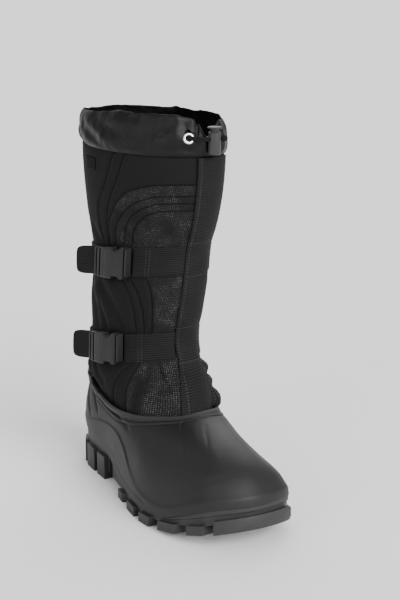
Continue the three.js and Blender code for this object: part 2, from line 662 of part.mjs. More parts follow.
// A point of the shaft's outside at a height and a column's turn, lifted off it.
function shaftPoint(rise, turn, lift) {
  const own = sectionTurn(turn);
  const level = Math.max(rise, SHAFT[0].rise);
  const onSection = sectionPoint(level, own, lift);
  if (rise >= SHAFT[0].rise) return onSection;
  const way = (rise - COLLAR_RISE) / (SHAFT[0].rise - COLLAR_RISE);
  const outwards = sectionPoint(level, own, 1).sub(sectionPoint(level, own, 0));
  const low = hemPoint(turn).addScaledVector(outwards, lift).setZ(ribPoint(turn, 1).z + RIM_STEP + 2 * GAP);
  const off = (own - INNER_PUFF_TURN) / INNER_PUFF_SPREAD;
  const inner = between(INSTEP, "way", "inner", way) * Math.exp(-off * off);
  const puff = between(INSTEP, "way", "puff", way) + inner;
  return low.lerp(onSection, way).addScaledVector(outwards, puff * SHAFT_LENGTH);
}

// Which of the shaft's heights its inner face follows, so that it keeps inside the straps' pinches.
const LINED = [0, 4, 5, 7, 11, 13, 16];
const instepRises = INSTEP.slice(0, -1).map((row) => lerp(COLLAR_RISE, SHAFT[0].rise, row.way));
const shaftRises = [...instepRises, ...SHAFT.map((row) => row.rise)];

function shaftGeometry() {
  const hem = (depth) => [
    ...[HEM_WAY, 1].map((share) => TURNS.map((turn, j) =>
      ribLifted(turn, mixed(share)(rands[j]), -SHELL_WALL - 2.5 * GAP - depth))),
    TURNS.map((turn) => hemPoint(turn, depth)),
  ];
  const loop = (lift) => (rise) => TURNS.map((turn) => shaftPoint(rise, turn, lift));
  const outer = [...hem(0), ...shaftRises.map(loop(0))];
  const inner = [...hem(SHAFT_WALL), ...LINED.map((i) => shaftRises[i]).map(loop(-SHAFT_WALL))];
  return geometryOf(solidOf(ringGeometry([...outer, ...inner.reverse()])));
}

const noseTurn = seek(0.3, 0.7, (turn) => sectionTurn(turn) < 0.5);

// The turn that lies a distance along the shaft from another one, towards the outer side and the back if
// the distance is negative.
function turnAfter(rise, start, distance) {
  const step = Math.sign(distance) * 0.002;
  let [turn, left] = [start, Math.abs(distance)];
  let here = shaftPoint(rise, turn, 0);
  for (;;) {
    const next = shaftPoint(rise, turn + step, 0);
    const length = here.distanceTo(next);
    if (length >= left) return turn + step * (left / length);
    turn += step;
    left -= length;
    here = next;
  }
}

// A closed band on the shaft between two turns and over some of its heights.
function bandGeometry(from, to, rises, lift, thickness) {
  const columns = [...TURNS, ...TURNS.map((turn) => turn + 1)]
    .filter((turn) => turn > from + 0.001 && turn < to - 0.001);
  return geometryOf(solidOf(loftGeometry([from, ...columns, to].map((turn) => [
    ...rises.map((rise) => shaftPoint(rise, turn, lift)),
    ...[...rises].reverse().map((rise) => shaftPoint(rise, turn, lift + thickness)),
  ]))));
}

const tapeRise = SHAFT[7].rise;
const tapeTurns = [-1, 1].map((side) => turnAfter(tapeRise, noseTurn, (side * TAPE_WIDTH) / 2));

function tapeGeometry() {
  const rises = shaftRises.slice(1, -1);
  return bandGeometry(tapeTurns[0], tapeTurns[1], [...rises, SHAFT.at(-1).rise], GAP, TAPE_THICKNESS);
}

// Straps and buckles
// A closed loft along a strap from rows of a distance back from the tape's outer edge, the ends up and
// down from the strap's middle, and the two lifts off the shaft.
function strapLoft(strap, rows, chamfer) {
  const [below, middle, above] = [-1, 0, 1].map((step) => SHAFT[strap.middle + step].rise);
  const at = (distance, up, lift) => {
    const turn = turnAfter(middle, tapeTurns[0], -distance);
    const [low, high] = [shaftPoint(below, turn, 0), shaftPoint(above, turn, 0)];
    const out = shaftPoint(middle, turn, 1).sub(shaftPoint(middle, turn, 0));
    const rising = high.clone().sub(low).normalize();
    return low.lerp(high, 0.5).addScaledVector(rising, up).addScaledVector(out, lift);
  };
  return solidOf(loftGeometry(rows.map(({ distance, half, under, over, low = -half }) => [
    at(distance, low, under),
    at(distance, half, under),
    at(distance, half, over - chamfer),
    at(distance, half - chamfer, over),
    at(distance, low + chamfer, over),
    at(distance, low, over - chamfer),
  ])));
}

const strapHalf = STRAP_WIDTH / 2;
const buckleUnder = GAP + STRAP_THICKNESS + GAP;
const buckleOver = buckleUnder + BUCKLE_THICKNESS;
const buckleHalf = BUCKLE_HEIGHT / 2;
const armOuter = buckleHalf * 0.84;

// The socket's outline: share of SOCKET_LENGTH back from its bar, and half height as a share of half of
// BUCKLE_HEIGHT. The notches in its edges show the ends of the prong's arms.
const SOCKET = [
  { way: 0.0, half: 0.86 },
  { way: 0.14, half: 0.9 },
  { way: 0.28, half: 1.0 },
  { way: 0.4, half: 0.97 },
  { way: 0.48, half: 0.8 },
  { way: 0.56, half: 0.75 },
  { way: 0.64, half: 0.8 },
  { way: 0.72, half: 0.97 },
  { way: 0.86, half: 0.98 },
  { way: 1.0, half: 0.94 },
];
const FIFTHS = [0, 0.25, 0.5, 0.75, 1];

// A slot right through a buckle for the webbing, a distance back from the tape.
function webbingSlot(strap, distance) {
  return strapLoft(strap, [0, 1].map((end) => ({
    distance: distance + end * STRAP_THICKNESS * 2,
    half: strapHalf,
    under: buckleUnder - 1,
    over: buckleOver + 1,
  })), 0);
}

function socketGeometry(strap) {
  const body = strapLoft(strap, SOCKET.map((row) => ({
    distance: BUCKLE_START + row.way * SOCKET_LENGTH,
    half: row.half * buckleHalf,
    under: buckleUnder,
    over: buckleOver,
  })), BUCKLE_WALL);
  const cavity = strapLoft(strap, FIFTHS.map((way) => ({
    distance: BUCKLE_START + lerp(SOCKET_LENGTH - ARM_LENGTH - 2 * GAP, SOCKET_LENGTH + 1, way),
    half: armOuter,
    under: buckleUnder + BUCKLE_WALL,
    over: buckleOver - BUCKLE_WALL,
  })), 0);
  return geometryOf(body.subtract(cavity).subtract(webbingSlot(strap, BUCKLE_START + 2 * BUCKLE_WALL)));
}

function prongGeometry(strap) {
  const start = BUCKLE_START + SOCKET_LENGTH + GAP;
  const base = strapLoft(strap, FIFTHS.map((way) => ({
    distance: start + way * PRONG_LENGTH,
    half: buckleHalf * lerp(0.94, 0.9, way),
    under: buckleUnder,
    over: buckleOver - way * BUCKLE_WALL,
  })), BUCKLE_WALL);
  const arms = [-1, 1].map((side) => strapLoft(strap, FIFTHS.map((way) => {
    const ends = [armOuter - GAP, armOuter - GAP - ARM_WIDTH].map((half) => half * side);
    return {
      distance: start + 1 - way * (ARM_LENGTH + 1),
      low: Math.min(...ends),
      half: Math.max(...ends),
      under: buckleUnder + BUCKLE_WALL + GAP,
      over: buckleOver - BUCKLE_WALL - GAP,
    };
  }), 0));
  const slots = [0.25, 0.64].map((way) => webbingSlot(strap, start + way * PRONG_LENGTH));
  const cut = slots.reduce((solid, slot) => solid.subtract(slot), base);
  return geometryOf(arms.reduce((solid, arm) => solid.add(arm), cut));
}

// The loose end of the strap behind the buckle: it leaves the prong and stands off the shaft.
function tailGeometry(strap) {
  const start = BUCKLE_START + SOCKET_LENGTH + PRONG_LENGTH + 2 * GAP;
  const rows = [0, 0.2, 0.4, 0.6, 0.8, 0.94, 1].map((way) => {
    const half = strapHalf * (way > 0.9 ? 1 - (way - 0.9) * 2.4 : 1);
    const under = buckleUnder + BUCKLE_WALL + way * way * TAIL_LIFT;
    return { distance: start + way * TAIL_LENGTH, half, under, over: under + STRAP_THICKNESS };
  });
  return geometryOf(strapLoft(strap, rows, 0));
}

// The two lengths of a strap: one from the tape to the socket, and one from the prong round the back.
function strapGeometries(strap) {
  const rises = [-1, 0, 1].map((step) => SHAFT[strap.middle + step].rise);
  const back = (distance) => turnAfter(rises[1], tapeTurns[0], -distance);
  const band = (from, to) => bandGeometry(from, to, rises, GAP, STRAP_THICKNESS);
  const front = band(back(BUCKLE_START + 2 * BUCKLE_WALL), back(2 * GAP));
  const rearEnd = back(BUCKLE_START + SOCKET_LENGTH + PRONG_LENGTH / 2);
  const rear = band(turnAfter(rises[1], tapeTurns[1], 2 * GAP), rearEnd + 1);
  return { front, rear };
}

// Snow collar
function snowCollarPoint(row, turn, lift) {
  const own = sectionTurn(turn);
  const nose = -Math.cos(own * 2 * Math.PI);
  const off = Math.abs(own - GATHER_TURN) / GATHER_SPREAD;
  const dip = row.dip * GATHER_DEPTH * Math.exp(-off * off);
  return sectionPoint(SHAFT.at(-1).rise, own, row.swell * SHAFT_WIDTH + lift)
    .setZ((row.rise + row.climb * nose) * BOOT_HEIGHT - dip);
}

// A point of the snow collar's outside at any height of it.
function snowCollarAt(rise, turn, lift) {
  const [climb, swell, dip] = ["climb", "swell", "dip"].map((name) =>
    between(SNOW_COLLAR, "rise", name, rise));
  return snowCollarPoint({ rise, climb, swell, dip }, turn, lift);
}

// A matrix at a point of the snow collar, its z axis standing off the fabric and its y axis up.
function snowCollarFrame(spot, lift) {
  const step = 0.005;
  const near = (rise, turn) => snowCollarAt(spot.rise + rise, noseTurn + spot.turn + turn, 0);
  const on = near(0, step).sub(near(0, -step));
  const out = on.cross(near(step, 0).sub(near(-step, 0))).normalize();
  const side = new THREE.Vector3(0, 0, 1).cross(out).normalize();
  return new THREE.Matrix4()
    .makeBasis(side, out.clone().cross(side), out)
    .setPosition(near(0, 0).addScaledVector(out, lift));
}

// A turned solid about the upright axis, from its profile of radius and height.
const turned = (profile) =>
  new THREE.LatheGeometry(profile.map(([r, h]) => new THREE.Vector2(r, h)), ROUND_SIDES).rotateX(Math.PI / 2);

// A round bore's solid along the z axis.
const bore = (diameter, length) =>
  new THREE.CylinderGeometry(diameter / 2, diameter / 2, length, ROUND_SIDES).rotateX(Math.PI / 2);

function snowCollarGeometry() {
  const loop = (row, lift) => TURNS.map((turn) => snowCollarPoint(row, turn, lift));
  const outer = SNOW_COLLAR.map((row) => loop(row, 0));
  const inner = SNOW_COLLAR.map((row) => loop(row, -SNOW_COLLAR_WALL));
  const hole = bore(EYELET_HOLE, EYELET_OUTER).applyMatrix4(snowCollarFrame(EYELET, 0));
  return geometryOf(solidOf(ringGeometry([...outer, ...inner.reverse()])).subtract(solidOf(hole)));
}

function eyeletGeometry() {
  const [hole, outer, thick] = [EYELET_HOLE / 2, EYELET_OUTER / 2, EYELET_THICKNESS];
  const profile = [[hole, 0], [outer, 0], [outer, thick * 0.4], [outer - thick * 0.6, thick],
    [hole + thick * 0.5, thick], [hole, thick * 0.6], [hole, 0]];
  return geometryOf(solidOf(turned(profile).applyMatrix4(snowCollarFrame(EYELET, 2 * GAP))));
}

// The cord lock stands upright in front of the snow collar.
const lockFrame = snowCollarFrame({ ...LOCK, rise: LOCK.against }, LOCK_DIAMETER / 2 + 2 * GAP);
const lockFoot = new THREE.Vector3().setFromMatrixPosition(lockFrame).setZ(LOCK.rise * BOOT_HEIGHT);
const lockSide = new THREE.Vector3().setFromMatrixColumn(lockFrame, 0);
const cordHeight = LOCK_LENGTH * 0.68;

const atLock = (profile) => turned(profile).translate(lockFoot.x, lockFoot.y, lockFoot.z);

// The cord's hole across the lock, at a height over its foot.
function crossHole(height) {
  const angle = Math.atan2(lockSide.y, lockSide.x);
  return solidOf(bore(CORD_DIAMETER + 3 * GAP, LOCK_DIAMETER * 2)
    .rotateY(Math.PI / 2)
    .rotateZ(angle)
    .translate(lockFoot.x, lockFoot.y, lockFoot.z + height));
}

function lockBarrelGeometry() {
  const [outer, inner] = [LOCK_DIAMETER / 2, LOCK_BORE / 2];
  const profile = [[0, 0], [outer - 1, 0], [outer, 1], [outer, LOCK_LENGTH - 1], [outer - 1, LOCK_LENGTH],
    [inner, LOCK_LENGTH], [inner, LOCK_FLOOR], [0, LOCK_FLOOR]];
  return geometryOf(solidOf(atLock(profile)).subtract(crossHole(cordHeight)));
}

function lockButtonGeometry() {
  const [stem, cap] = [BUTTON_DIAMETER / 2, BUTTON_CAP_DIAMETER / 2];
  const foot = LOCK_FLOOR + BUTTON_TRAVEL + GAP;
  const under = LOCK_LENGTH + BUTTON_TRAVEL + GAP;
  const over = under + BUTTON_CAP_THICKNESS;
  const profile = [[0, foot], [stem, foot], [stem, under], [cap - 0.6, under], [cap, under + 0.6],
    [cap, over - 0.6], [cap - 0.6, over], [0, over]];
  const holes = [0, 0.5, 1].map((share) => crossHole(cordHeight + share * BUTTON_TRAVEL));
  return geometryOf(holes.reduce((solid, hole) => solid.subtract(hole), solidOf(atLock(profile))));
}

// The drawcord comes out of the eyelet, crosses to the lock, runs through it and ends in a knot.
const cordMiddle = lockFoot.clone().setZ(lockFoot.z + cordHeight);

function cordGeometry() {
  const eyelet = snowCollarFrame(EYELET, 0);
  const offEyelet = (side, out) => new THREE.Vector3(side, 0, out).applyMatrix4(eyelet);
  const offLock = (side) => cordMiddle.clone().addScaledVector(lockSide, side);
  const reach = LOCK_DIAMETER / 2;
  const route = new THREE.CatmullRomCurve3([
    offEyelet(-1.2, -5),
    offEyelet(-0.2, 0),
    offEyelet(1.6, 4),
    offLock(-reach - 5),
    offLock(-reach),
    offLock(0),
    offLock(reach),
  ], false, "centripetal");
  const round = new THREE.Shape().absarc(0, 0, CORD_DIAMETER / 2, 0, 2 * Math.PI);
  const settings = { extrudePath: route, steps: 13, curveSegments: CORD_SIDES / 2 };
  return geometryOf(solidOf(new THREE.ExtrudeGeometry(round, settings)));
}

function knotGeometry() {
  const middle = cordMiddle.clone().addScaledVector(lockSide, (LOCK_DIAMETER + KNOT_DIAMETER) / 2 + 2 * GAP);
  return geometryOf(solidOf(new THREE.SphereGeometry(KNOT_DIAMETER / 2, 10, 7)
    .scale(1, 1, 0.85)
    .translate(middle.x, middle.y, middle.z)));
}

const boot = new THREE.Group();

function addPart(name, geometry, color, roughness, metalness = 0) {
  const mesh = new THREE.Mesh(geometry, new THREE.MeshStandardMaterial({ color, roughness, metalness }));
  mesh.name = name;
  boot.add(mesh);
}

addPart("outsole", outsoleGeometry(), 0x2a2a2a, 0.6);
addPart("shell", shellGeometry(), 0x262626, 0.55);
addPart("insole", insoleGeometry(), 0x303030, 0.95);
addPart("shaft", shaftGeometry(), 0x1b1b1b, 0.9);
addPart("front_tape", tapeGeometry(), 0x202020, 0.8);
for (const strap of STRAPS) {
  const { front, rear } = strapGeometries(strap);
  addPart(`strap_${strap.name}_front`, front, 0x1e1e1e, 0.75);
  addPart(`strap_${strap.name}_rear`, rear, 0x1e1e1e, 0.75);
  addPart(`strap_${strap.name}_tail`, tailGeometry(strap), 0x1e1e1e, 0.75);
  addPart(`buckle_${strap.name}_socket`, socketGeometry(strap), 0x303030, 0.5);
  addPart(`buckle_${strap.name}_prong`, prongGeometry(strap), 0x303030, 0.5);
}
addPart("snow_collar", snowCollarGeometry(), 0x161616, 0.45);
addPart("eyelet", eyeletGeometry(), 0xc8c8c8, 0.25, 1);
addPart("drawcord", cordGeometry(), 0x1a1a1a, 0.8);
addPart("lock_barrel", lockBarrelGeometry(), 0x4a4a4a, 0.4);
addPart("lock_button", lockButtonGeometry(), 0x3a3a3a, 0.45);
addPart("cord_knot", knotGeometry(), 0x1a1a1a, 0.8);

// Stands the boot with the middle of its box over the origin, on the floor.
const box = new THREE.Box3().setFromObject(boot);
boot.position.set(-(box.min.x + box.max.x) / 2, -(box.min.y + box.max.y) / 2, -box.min.z);

export default boot;
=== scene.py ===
import math

import bmesh
import bpy
import numpy as np
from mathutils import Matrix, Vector, noise
from mathutils.bvhtree import BVHTree


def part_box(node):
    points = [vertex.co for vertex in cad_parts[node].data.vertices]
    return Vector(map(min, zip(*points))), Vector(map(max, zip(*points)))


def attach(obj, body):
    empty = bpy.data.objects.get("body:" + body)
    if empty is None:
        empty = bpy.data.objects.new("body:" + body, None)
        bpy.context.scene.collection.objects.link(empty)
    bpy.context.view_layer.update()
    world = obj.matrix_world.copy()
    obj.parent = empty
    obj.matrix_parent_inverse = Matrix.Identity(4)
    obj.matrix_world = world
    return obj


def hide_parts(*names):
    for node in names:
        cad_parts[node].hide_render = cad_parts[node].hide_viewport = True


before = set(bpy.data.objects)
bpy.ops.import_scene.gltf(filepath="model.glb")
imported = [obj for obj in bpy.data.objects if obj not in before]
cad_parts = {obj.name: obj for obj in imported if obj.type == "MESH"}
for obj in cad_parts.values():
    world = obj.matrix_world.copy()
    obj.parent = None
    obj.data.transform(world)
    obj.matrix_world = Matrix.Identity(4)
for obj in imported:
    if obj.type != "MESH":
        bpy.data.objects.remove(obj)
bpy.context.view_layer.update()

MM = 0.001
SOLE_LENGTH = 318
BOOT_HEIGHT = 374
SHAFT_LENGTH = 170
SHAFT_WIDTH = 112
SOLE_OUTER_SIDE = -65.3
SAME_POINT = 0.003
SETTLING_ROUNDS = 14

sole_low, sole_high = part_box("outsole")
HEEL = Vector((sole_low.x - SOLE_OUTER_SIDE * MM, sole_high.y, 0.0))

# The shaft's level sections, as in the part: rise, climb, back, across, length, width, turn.
SECTIONS = np.array([
    (0.3352, 0.0255, 0.04, 0.045, 0.815, 0.8, 14),
    (0.3738, 0.0265, 0.04, 0.046, 0.798, 0.775, 14),
    (0.4114, 0.0275, 0.04, 0.048, 0.808, 0.785, 14),
    (0.4389, 0.0305, 0.039, 0.055, 0.84, 0.82, 13),
    (0.4877, 0.0295, 0.038, 0.065, 0.855, 0.83, 13.5),
    (0.5385, 0.0284, 0.038, 0.08, 0.868, 0.845, 14),
    (0.5715, 0.0214, 0.039, 0.095, 0.852, 0.825, 14.5),
    (0.6102, 0.0204, 0.04, 0.108, 0.845, 0.82, 15),
    (0.6491, 0.0194, 0.04, 0.108, 0.86, 0.835, 15.5),
    (0.6787, 0.0224, 0.04, 0.104, 0.905, 0.875, 16),
    (0.7488, 0.0152, 0.041, 0.097, 0.95, 0.925, 17),
    (0.826, 0.0051, 0.041, 0.09, 0.985, 0.98, 17.5),
    (0.9094, -0.0051, 0.04, 0.085, 1.0, 1.0, 18),
])

# Webbing: the straps' heights, half widths in millimetres, where the straps are stitched across, as turns,
# and how far from a strap's middle the tape is stitched, over BOOT_HEIGHT.
STRAP_RISES = {"lower": 0.3738, "upper": 0.6102}
STRAP_HALF = 14.5
TAPE_HALF = 15.5
STRAP_STITCH_TURNS = (0.337, 0.346, 0.654, 0.663)
TAPE_STITCH_OFF = 0.045
TAPE_STITCH_EDGE = 2.0
RIB_PITCH = 2.2
RIB_THREAD = 1.3

# The front tape narrows, leans to the outer side and drops on to the rubber towards its foot: where each
# begins, over what height, and how much.
TAPE_TAPER_TOP, TAPE_TAPER_RUN, TAPE_TAPER = 0.4, 0.13, 0.3
TAPE_SHIFT_TOP, TAPE_SHIFT_RUN, TAPE_SHIFT = 0.345, 0.09, 0.017
TAPE_FOOT_TOP, TAPE_FOOT_RUN, TAPE_FOOT_DROP = 0.31, 0.055, 15.0
TAPE_LAID_TOP, TAPE_LAID_RUN = 0.35, 0.03
TAPE_END = 0.2

# A buckle's socket: its plate's length in millimetres, and how much of the bar past it is kept.
SOCKET_PLATE = 25.5
SOCKET_BAR = 0.5

# Sewn lines of the shaft's outer side, as turns from the back and heights over BOOT_HEIGHT, from the top
# down in three fields that the straps part. The inner side has the same ones, mirrored.
SEAM_A = [
    [(0.28, 0.94), (0.262, 0.91), (0.245, 0.875), (0.229, 0.831), (0.212, 0.793), (0.202, 0.774),
     (0.195, 0.748), (0.198, 0.712), (0.207, 0.655), (0.21, 0.63)],
    [(0.25, 0.6), (0.267, 0.572), (0.289, 0.545), (0.301, 0.523), (0.318, 0.478), (0.329, 0.426),
     (0.331, 0.39)],
    [(0.33, 0.36), (0.317, 0.331), (0.297, 0.313), (0.288, 0.292), (0.282, 0.274), (0.276, 0.2)],
]
SEAM_B = [
    [(0.31, 0.94), (0.292, 0.915), (0.274, 0.879), (0.258, 0.834), (0.24, 0.789), (0.228, 0.751),
     (0.224, 0.714), (0.227, 0.685), (0.234, 0.63)],
    [(0.28, 0.6), (0.294, 0.573), (0.315, 0.541), (0.331, 0.509), (0.345, 0.467), (0.353, 0.422),
     (0.356, 0.39)],
    [(0.355, 0.36), (0.34, 0.33), (0.327, 0.312), (0.319, 0.29), (0.316, 0.268), (0.313, 0.2)],
]
ARC_1 = [(0.46, 0.83), (0.448, 0.83), (0.407, 0.832), (0.347, 0.83), (0.317, 0.822), (0.286, 0.809),
         (0.266, 0.788), (0.25, 0.764), (0.237, 0.738), (0.229, 0.715), (0.227, 0.685), (0.234, 0.63)]
ARC_2 = [(0.46, 0.796), (0.4, 0.797), (0.347, 0.797), (0.305, 0.78), (0.278, 0.756), (0.258, 0.725),
         (0.25, 0.694), (0.248, 0.63)]
ARC_3 = [(0.46, 0.773), (0.4, 0.776), (0.353, 0.776), (0.317, 0.761), (0.291, 0.738), (0.277, 0.703),
         (0.272, 0.63)]
ARC_4 = [(0.46, 0.751), (0.4, 0.754), (0.36, 0.754), (0.329, 0.743), (0.307, 0.719), (0.298, 0.688),
         (0.294, 0.63)]
COARSE_EDGES = [
    ARC_1,
    [(0.325, 0.6), (0.339, 0.573), (0.355, 0.54), (0.366, 0.501), (0.372, 0.459), (0.375, 0.417),
     (0.376, 0.39)],
    SEAM_B[2],
]
PANEL_EDGES = {"seam_a": SEAM_A, "seam_b": SEAM_B, "arc_2": [ARC_2], "arc_3": [ARC_3], "arc_4": [ARC_4],
               "coarse": COARSE_EDGES}

# The sewn edges' relief in millimetres: a groove, and the padding that swells beside it. The cloth is
# pressed in a little under webbing, and its relief ends where the rubber covers it.
SEAM_DEPTH, SEAM_HALF = 0.9, 1.7
PADDING_SWELL, PADDING_OFF, PADDING_HALF = 0.55, 4.2, 2.4
WEBBING_PRESS, WEBBING_MARGIN, WEBBING_EASE = 0.5, 1.0, 5.0
RELIEF_FOOT, RELIEF_FULL = 74.0, 84.0

# Soft folds: points as above, how deep and how wide in millimetres. A depth below nought stands out. Those
# that begin nearer the back than MIRRORED_BELOW are on both sides.
MIRRORED_BELOW = 0.36
FOLDS = [
    ([(0.197, 0.546), (0.226, 0.52), (0.25, 0.493), (0.272, 0.461), (0.288, 0.43)], 2.2, 5.0),
    ([(0.2, 0.493), (0.218, 0.462), (0.231, 0.426)], 1.8, 4.5),
    ([(0.23, 0.56), (0.255, 0.53), (0.28, 0.49), (0.3, 0.45), (0.31, 0.42)], -1.2, 6.0),
    ([(0.17, 0.53), (0.2, 0.505), (0.232, 0.47), (0.255, 0.43)], -1.3, 6.0),
    ([(0.12, 0.55), (0.15, 0.52), (0.175, 0.48), (0.19, 0.43)], 1.8, 6.0),
    ([(0.03, 0.54), (0.07, 0.51), (0.1, 0.47), (0.12, 0.42)], 1.8, 7.0),
    ([(0.391, 0.335), (0.392, 0.315), (0.396, 0.298), (0.4, 0.281)], 2.6, 3.0),
    ([(0.369, 0.283), (0.383, 0.278), (0.399, 0.276), (0.414, 0.278)], 2.4, 3.5),
    ([(0.362, 0.335), (0.357, 0.313), (0.355, 0.293)], 1.6, 3.0),
    ([(0.417, 0.335), (0.4175, 0.311), (0.415, 0.293)], 1.6, 3.0),
    ([(0.376, 0.33), (0.375, 0.305)], -1.6, 4.0),
    ([(0.404, 0.33), (0.406, 0.305)], -1.6, 4.0),
    ([(0.178, 0.33), (0.21, 0.298), (0.24, 0.275)], 2.0, 4.0),
    ([(0.14, 0.33), (0.165, 0.3), (0.19, 0.265)], 2.0, 5.0),
    ([(0.08, 0.335), (0.09, 0.31), (0.1, 0.285)], 1.8, 5.0),
    ([(0.35, 0.695), (0.379, 0.674), (0.409, 0.653)], -1.6, 5.0),
    ([(0.436, 0.714), (0.43, 0.682), (0.428, 0.65)], 1.4, 5.0),
    ([(0.277, 0.699), (0.29, 0.676), (0.306, 0.655)], 1.5, 4.0),
    ([(0.33, 0.7), (0.345, 0.676), (0.36, 0.655)], 1.2, 5.0),
    ([(0.16, 0.7), (0.18, 0.675), (0.2, 0.652)], 1.6, 5.0),
    ([(0.1, 0.71), (0.11, 0.68), (0.12, 0.652)], 1.4, 6.0),
    ([(0.56, 0.335), (0.565, 0.3), (0.57, 0.27)], 2.4, 4.0),
    ([(0.58, 0.318), (0.61, 0.314), (0.64, 0.318)], 2.4, 3.5),
    ([(0.57, 0.281), (0.6, 0.276), (0.63, 0.279)], 3.0, 3.5),
    ([(0.57, 0.3), (0.61, 0.296), (0.65, 0.3)], -2.4, 4.5),
]

# Where the cloth swells and draws in near the rubber: turn, height over BOOT_HEIGHT, how far it stands out,
# and its half width and half height in millimetres. The first three are the puffs of the inner side.
PUFFS = [
    (0.605, 0.262, 1.5, 22, 10.0),
    (0.6, 0.243, -6.0, 24, 4.0),
    (0.585, 0.217, 12.0, 26, 9.5),
    (0.3, 0.3, 1.2, 16, 12),
    (0.36, 0.268, 1.5, 20, 9),
]

# The shaft's upper edge, in millimetres: its height at the sides, how much higher the back is, and how far
# it goes up and in, to lie inside the snow collar's hem.
SHAFT_TOP_MIDDLE = 340.1
SHAFT_TOP_TILT = 1.9
SHAFT_TOP_LIFT = 5.7
SHAFT_TOP_TUCK = 0.6

# The bare woven label: turns and heights as above, and millimetres.
LABEL_TURN = 0.17
LABEL_HALF_TURN = 0.021
LABEL_RISE = 0.87
LABEL_HALF_RISE = 0.015
LABEL_LIFT = 0.25
LABEL_THICKNESS = 0.4

# Relief of the rubber shell, as points on it, how deep and how wide in millimetres. The rubber's colour also
# carries painted shade along these grooves.
SHELL_LINES = [
    ([(-12.0, -196.0, 85.5), (-15.8, -201.5, 85.3), (-25.2, -222.9, 81.8), (-33.4, -243.7, 75.4),
      (-38.4, -258.1, 68.0)], 0.7, 1.2),
    ([(4.4, -213.1, 87.1), (-3.6, -228.6, 85.8), (-11.3, -245.7, 83.8), (-17.5, -260.0, 80.8)], 0.4, 1.2),
    ([(25.0, -213.1, 83.7), (19.2, -243.3, 82.2), (19.9, -264.4, 78.6), (23.2, -277.7, 74.4)], 0.5, 1.3),
    ([(-38.0, -38.0, 96.0), (-42.5, -50.0, 90.0), (-44.1, -59.0, 83.1), (-46.4, -72.1, 69.7),
      (-47.0, -77.5, 61.1)], 1.9, 1.9),
    ([(-36.0, -30.0, 90.0), (-43.0, -43.0, 76.0), (-45.6, -49.6, 66.2), (-47.4, -60.7, 55.6)], 1.9, 1.9),
    ([(38.0, -38.0, 96.0), (42.5, -55.0, 85.0), (44.0, -72.0, 69.7), (44.0, -77.5, 61.1)], 1.9, 1.9),
    ([(36.0, -30.0, 90.0), (42.0, -43.0, 76.0), (44.0, -60.7, 56.0)], 1.9, 1.9),
    ([(-43.3, -60.0, 93.0), (-43.3, -67.9, 89.9), (-47.8, -87.5, 83.9), (-47.1, -101.9, 78.6),
      (-47.0, -122.7, 77.1), (-47.4, -142.4, 73.9), (-49.0, -157.4, 69.7)], 1.3, 1.9),
    ([(-45.3, -67.2, 36.8), (-47.9, -96.8, 41.8), (-50.6, -116.8, 38.5), (-53.6, -135.3, 29.6),
      (-57.9, -161.4, 23.8), (-62.9, -195.0, 22.9), (-62.5, -222.8, 20.9)], 0.7, 1.5),
    ([(-58.9, -225.1, 33.6), (-51.6, -253.4, 43.3), (-41.3, -277.2, 55.8), (-27.2, -293.1, 65.1),
      (-7.0, -297.8, 70.1), (16.6, -297.0, 68.4)], 0.3, 1.5),
]

SHELL_CREASE_ANGLE = 62
LINE_FADE = 14.0

# The rim's relief: millimetres from the rubber's top edge, how far it stands out and how wide it is.
RIM_PROFILE = [(0.0, 1.7, 2.8), (5.2, -0.9, 1.1), (7.4, 0.5, 1.5), (9.8, -0.8, 1.1)]
RIM_STEPS = 180
RIM_CENTRE = (5.0, -105.0, 0.0)

# The inner side of the rim stands out more than in the solids.
RIM_BULGE = (42.0, -178.0, 84.0)
RIM_BULGE_SIZE = (25.0, 32.0, 24.0)
RIM_BULGE_WIDTH = 6.5

# The vamp's inner side is pressed in to a hollow surface: a point of it, the direction that faces out of it,
# the direction down along it, how it bends, over millimetres, and how softly the rubber meets it.
VAMP_HOLLOW = (34.1, -246.4, 72.1)
VAMP_OUT = (0.688, -0.168, 0.706)
VAMP_DOWN = (0.563, -0.492, -0.664)
VAMP_BEND = 0.0032
VAMP_SOFT = 2.5

# The snow collar. Its cloth is gathered at the drawcord: the turn, and the pleats there in millimetres.
GATHER_TURN = 0.465
PLEAT_REACH, PLEAT_PITCH, PLEAT_DEPTH = 26.0, 2.1, 0.7
PLEAT_FOOT, PLEAT_FULL = 342.0, 362.0
CRUMPLE = 1.1
CRUMPLE_SIZES = ((34.0, 0.65), (15.0, 0.35))

# Its upper edge is higher at the front of the outer side, most of all in the flap beside the eyelet, and
# uneven. Its hem rides up at the back of the outer side. Lifts in millimetres, the rest as turns and heights.
FRONT_LIFT = 7.0
EDGE_UNEVEN = 1.2
FLAP_TURN, FLAP_WIDTH, FLAP_LIFT = 0.455, 0.022, 14.0
RING_CLEAR, RING_EASED = 7.5, 12.0
HEM_LIFT_TURN, HEM_LIFT_WIDTH, HEM_LIFT = 0.1, 0.055, 5.0
HEM_FOOT, HEM_FULL = 340.5, 347.0

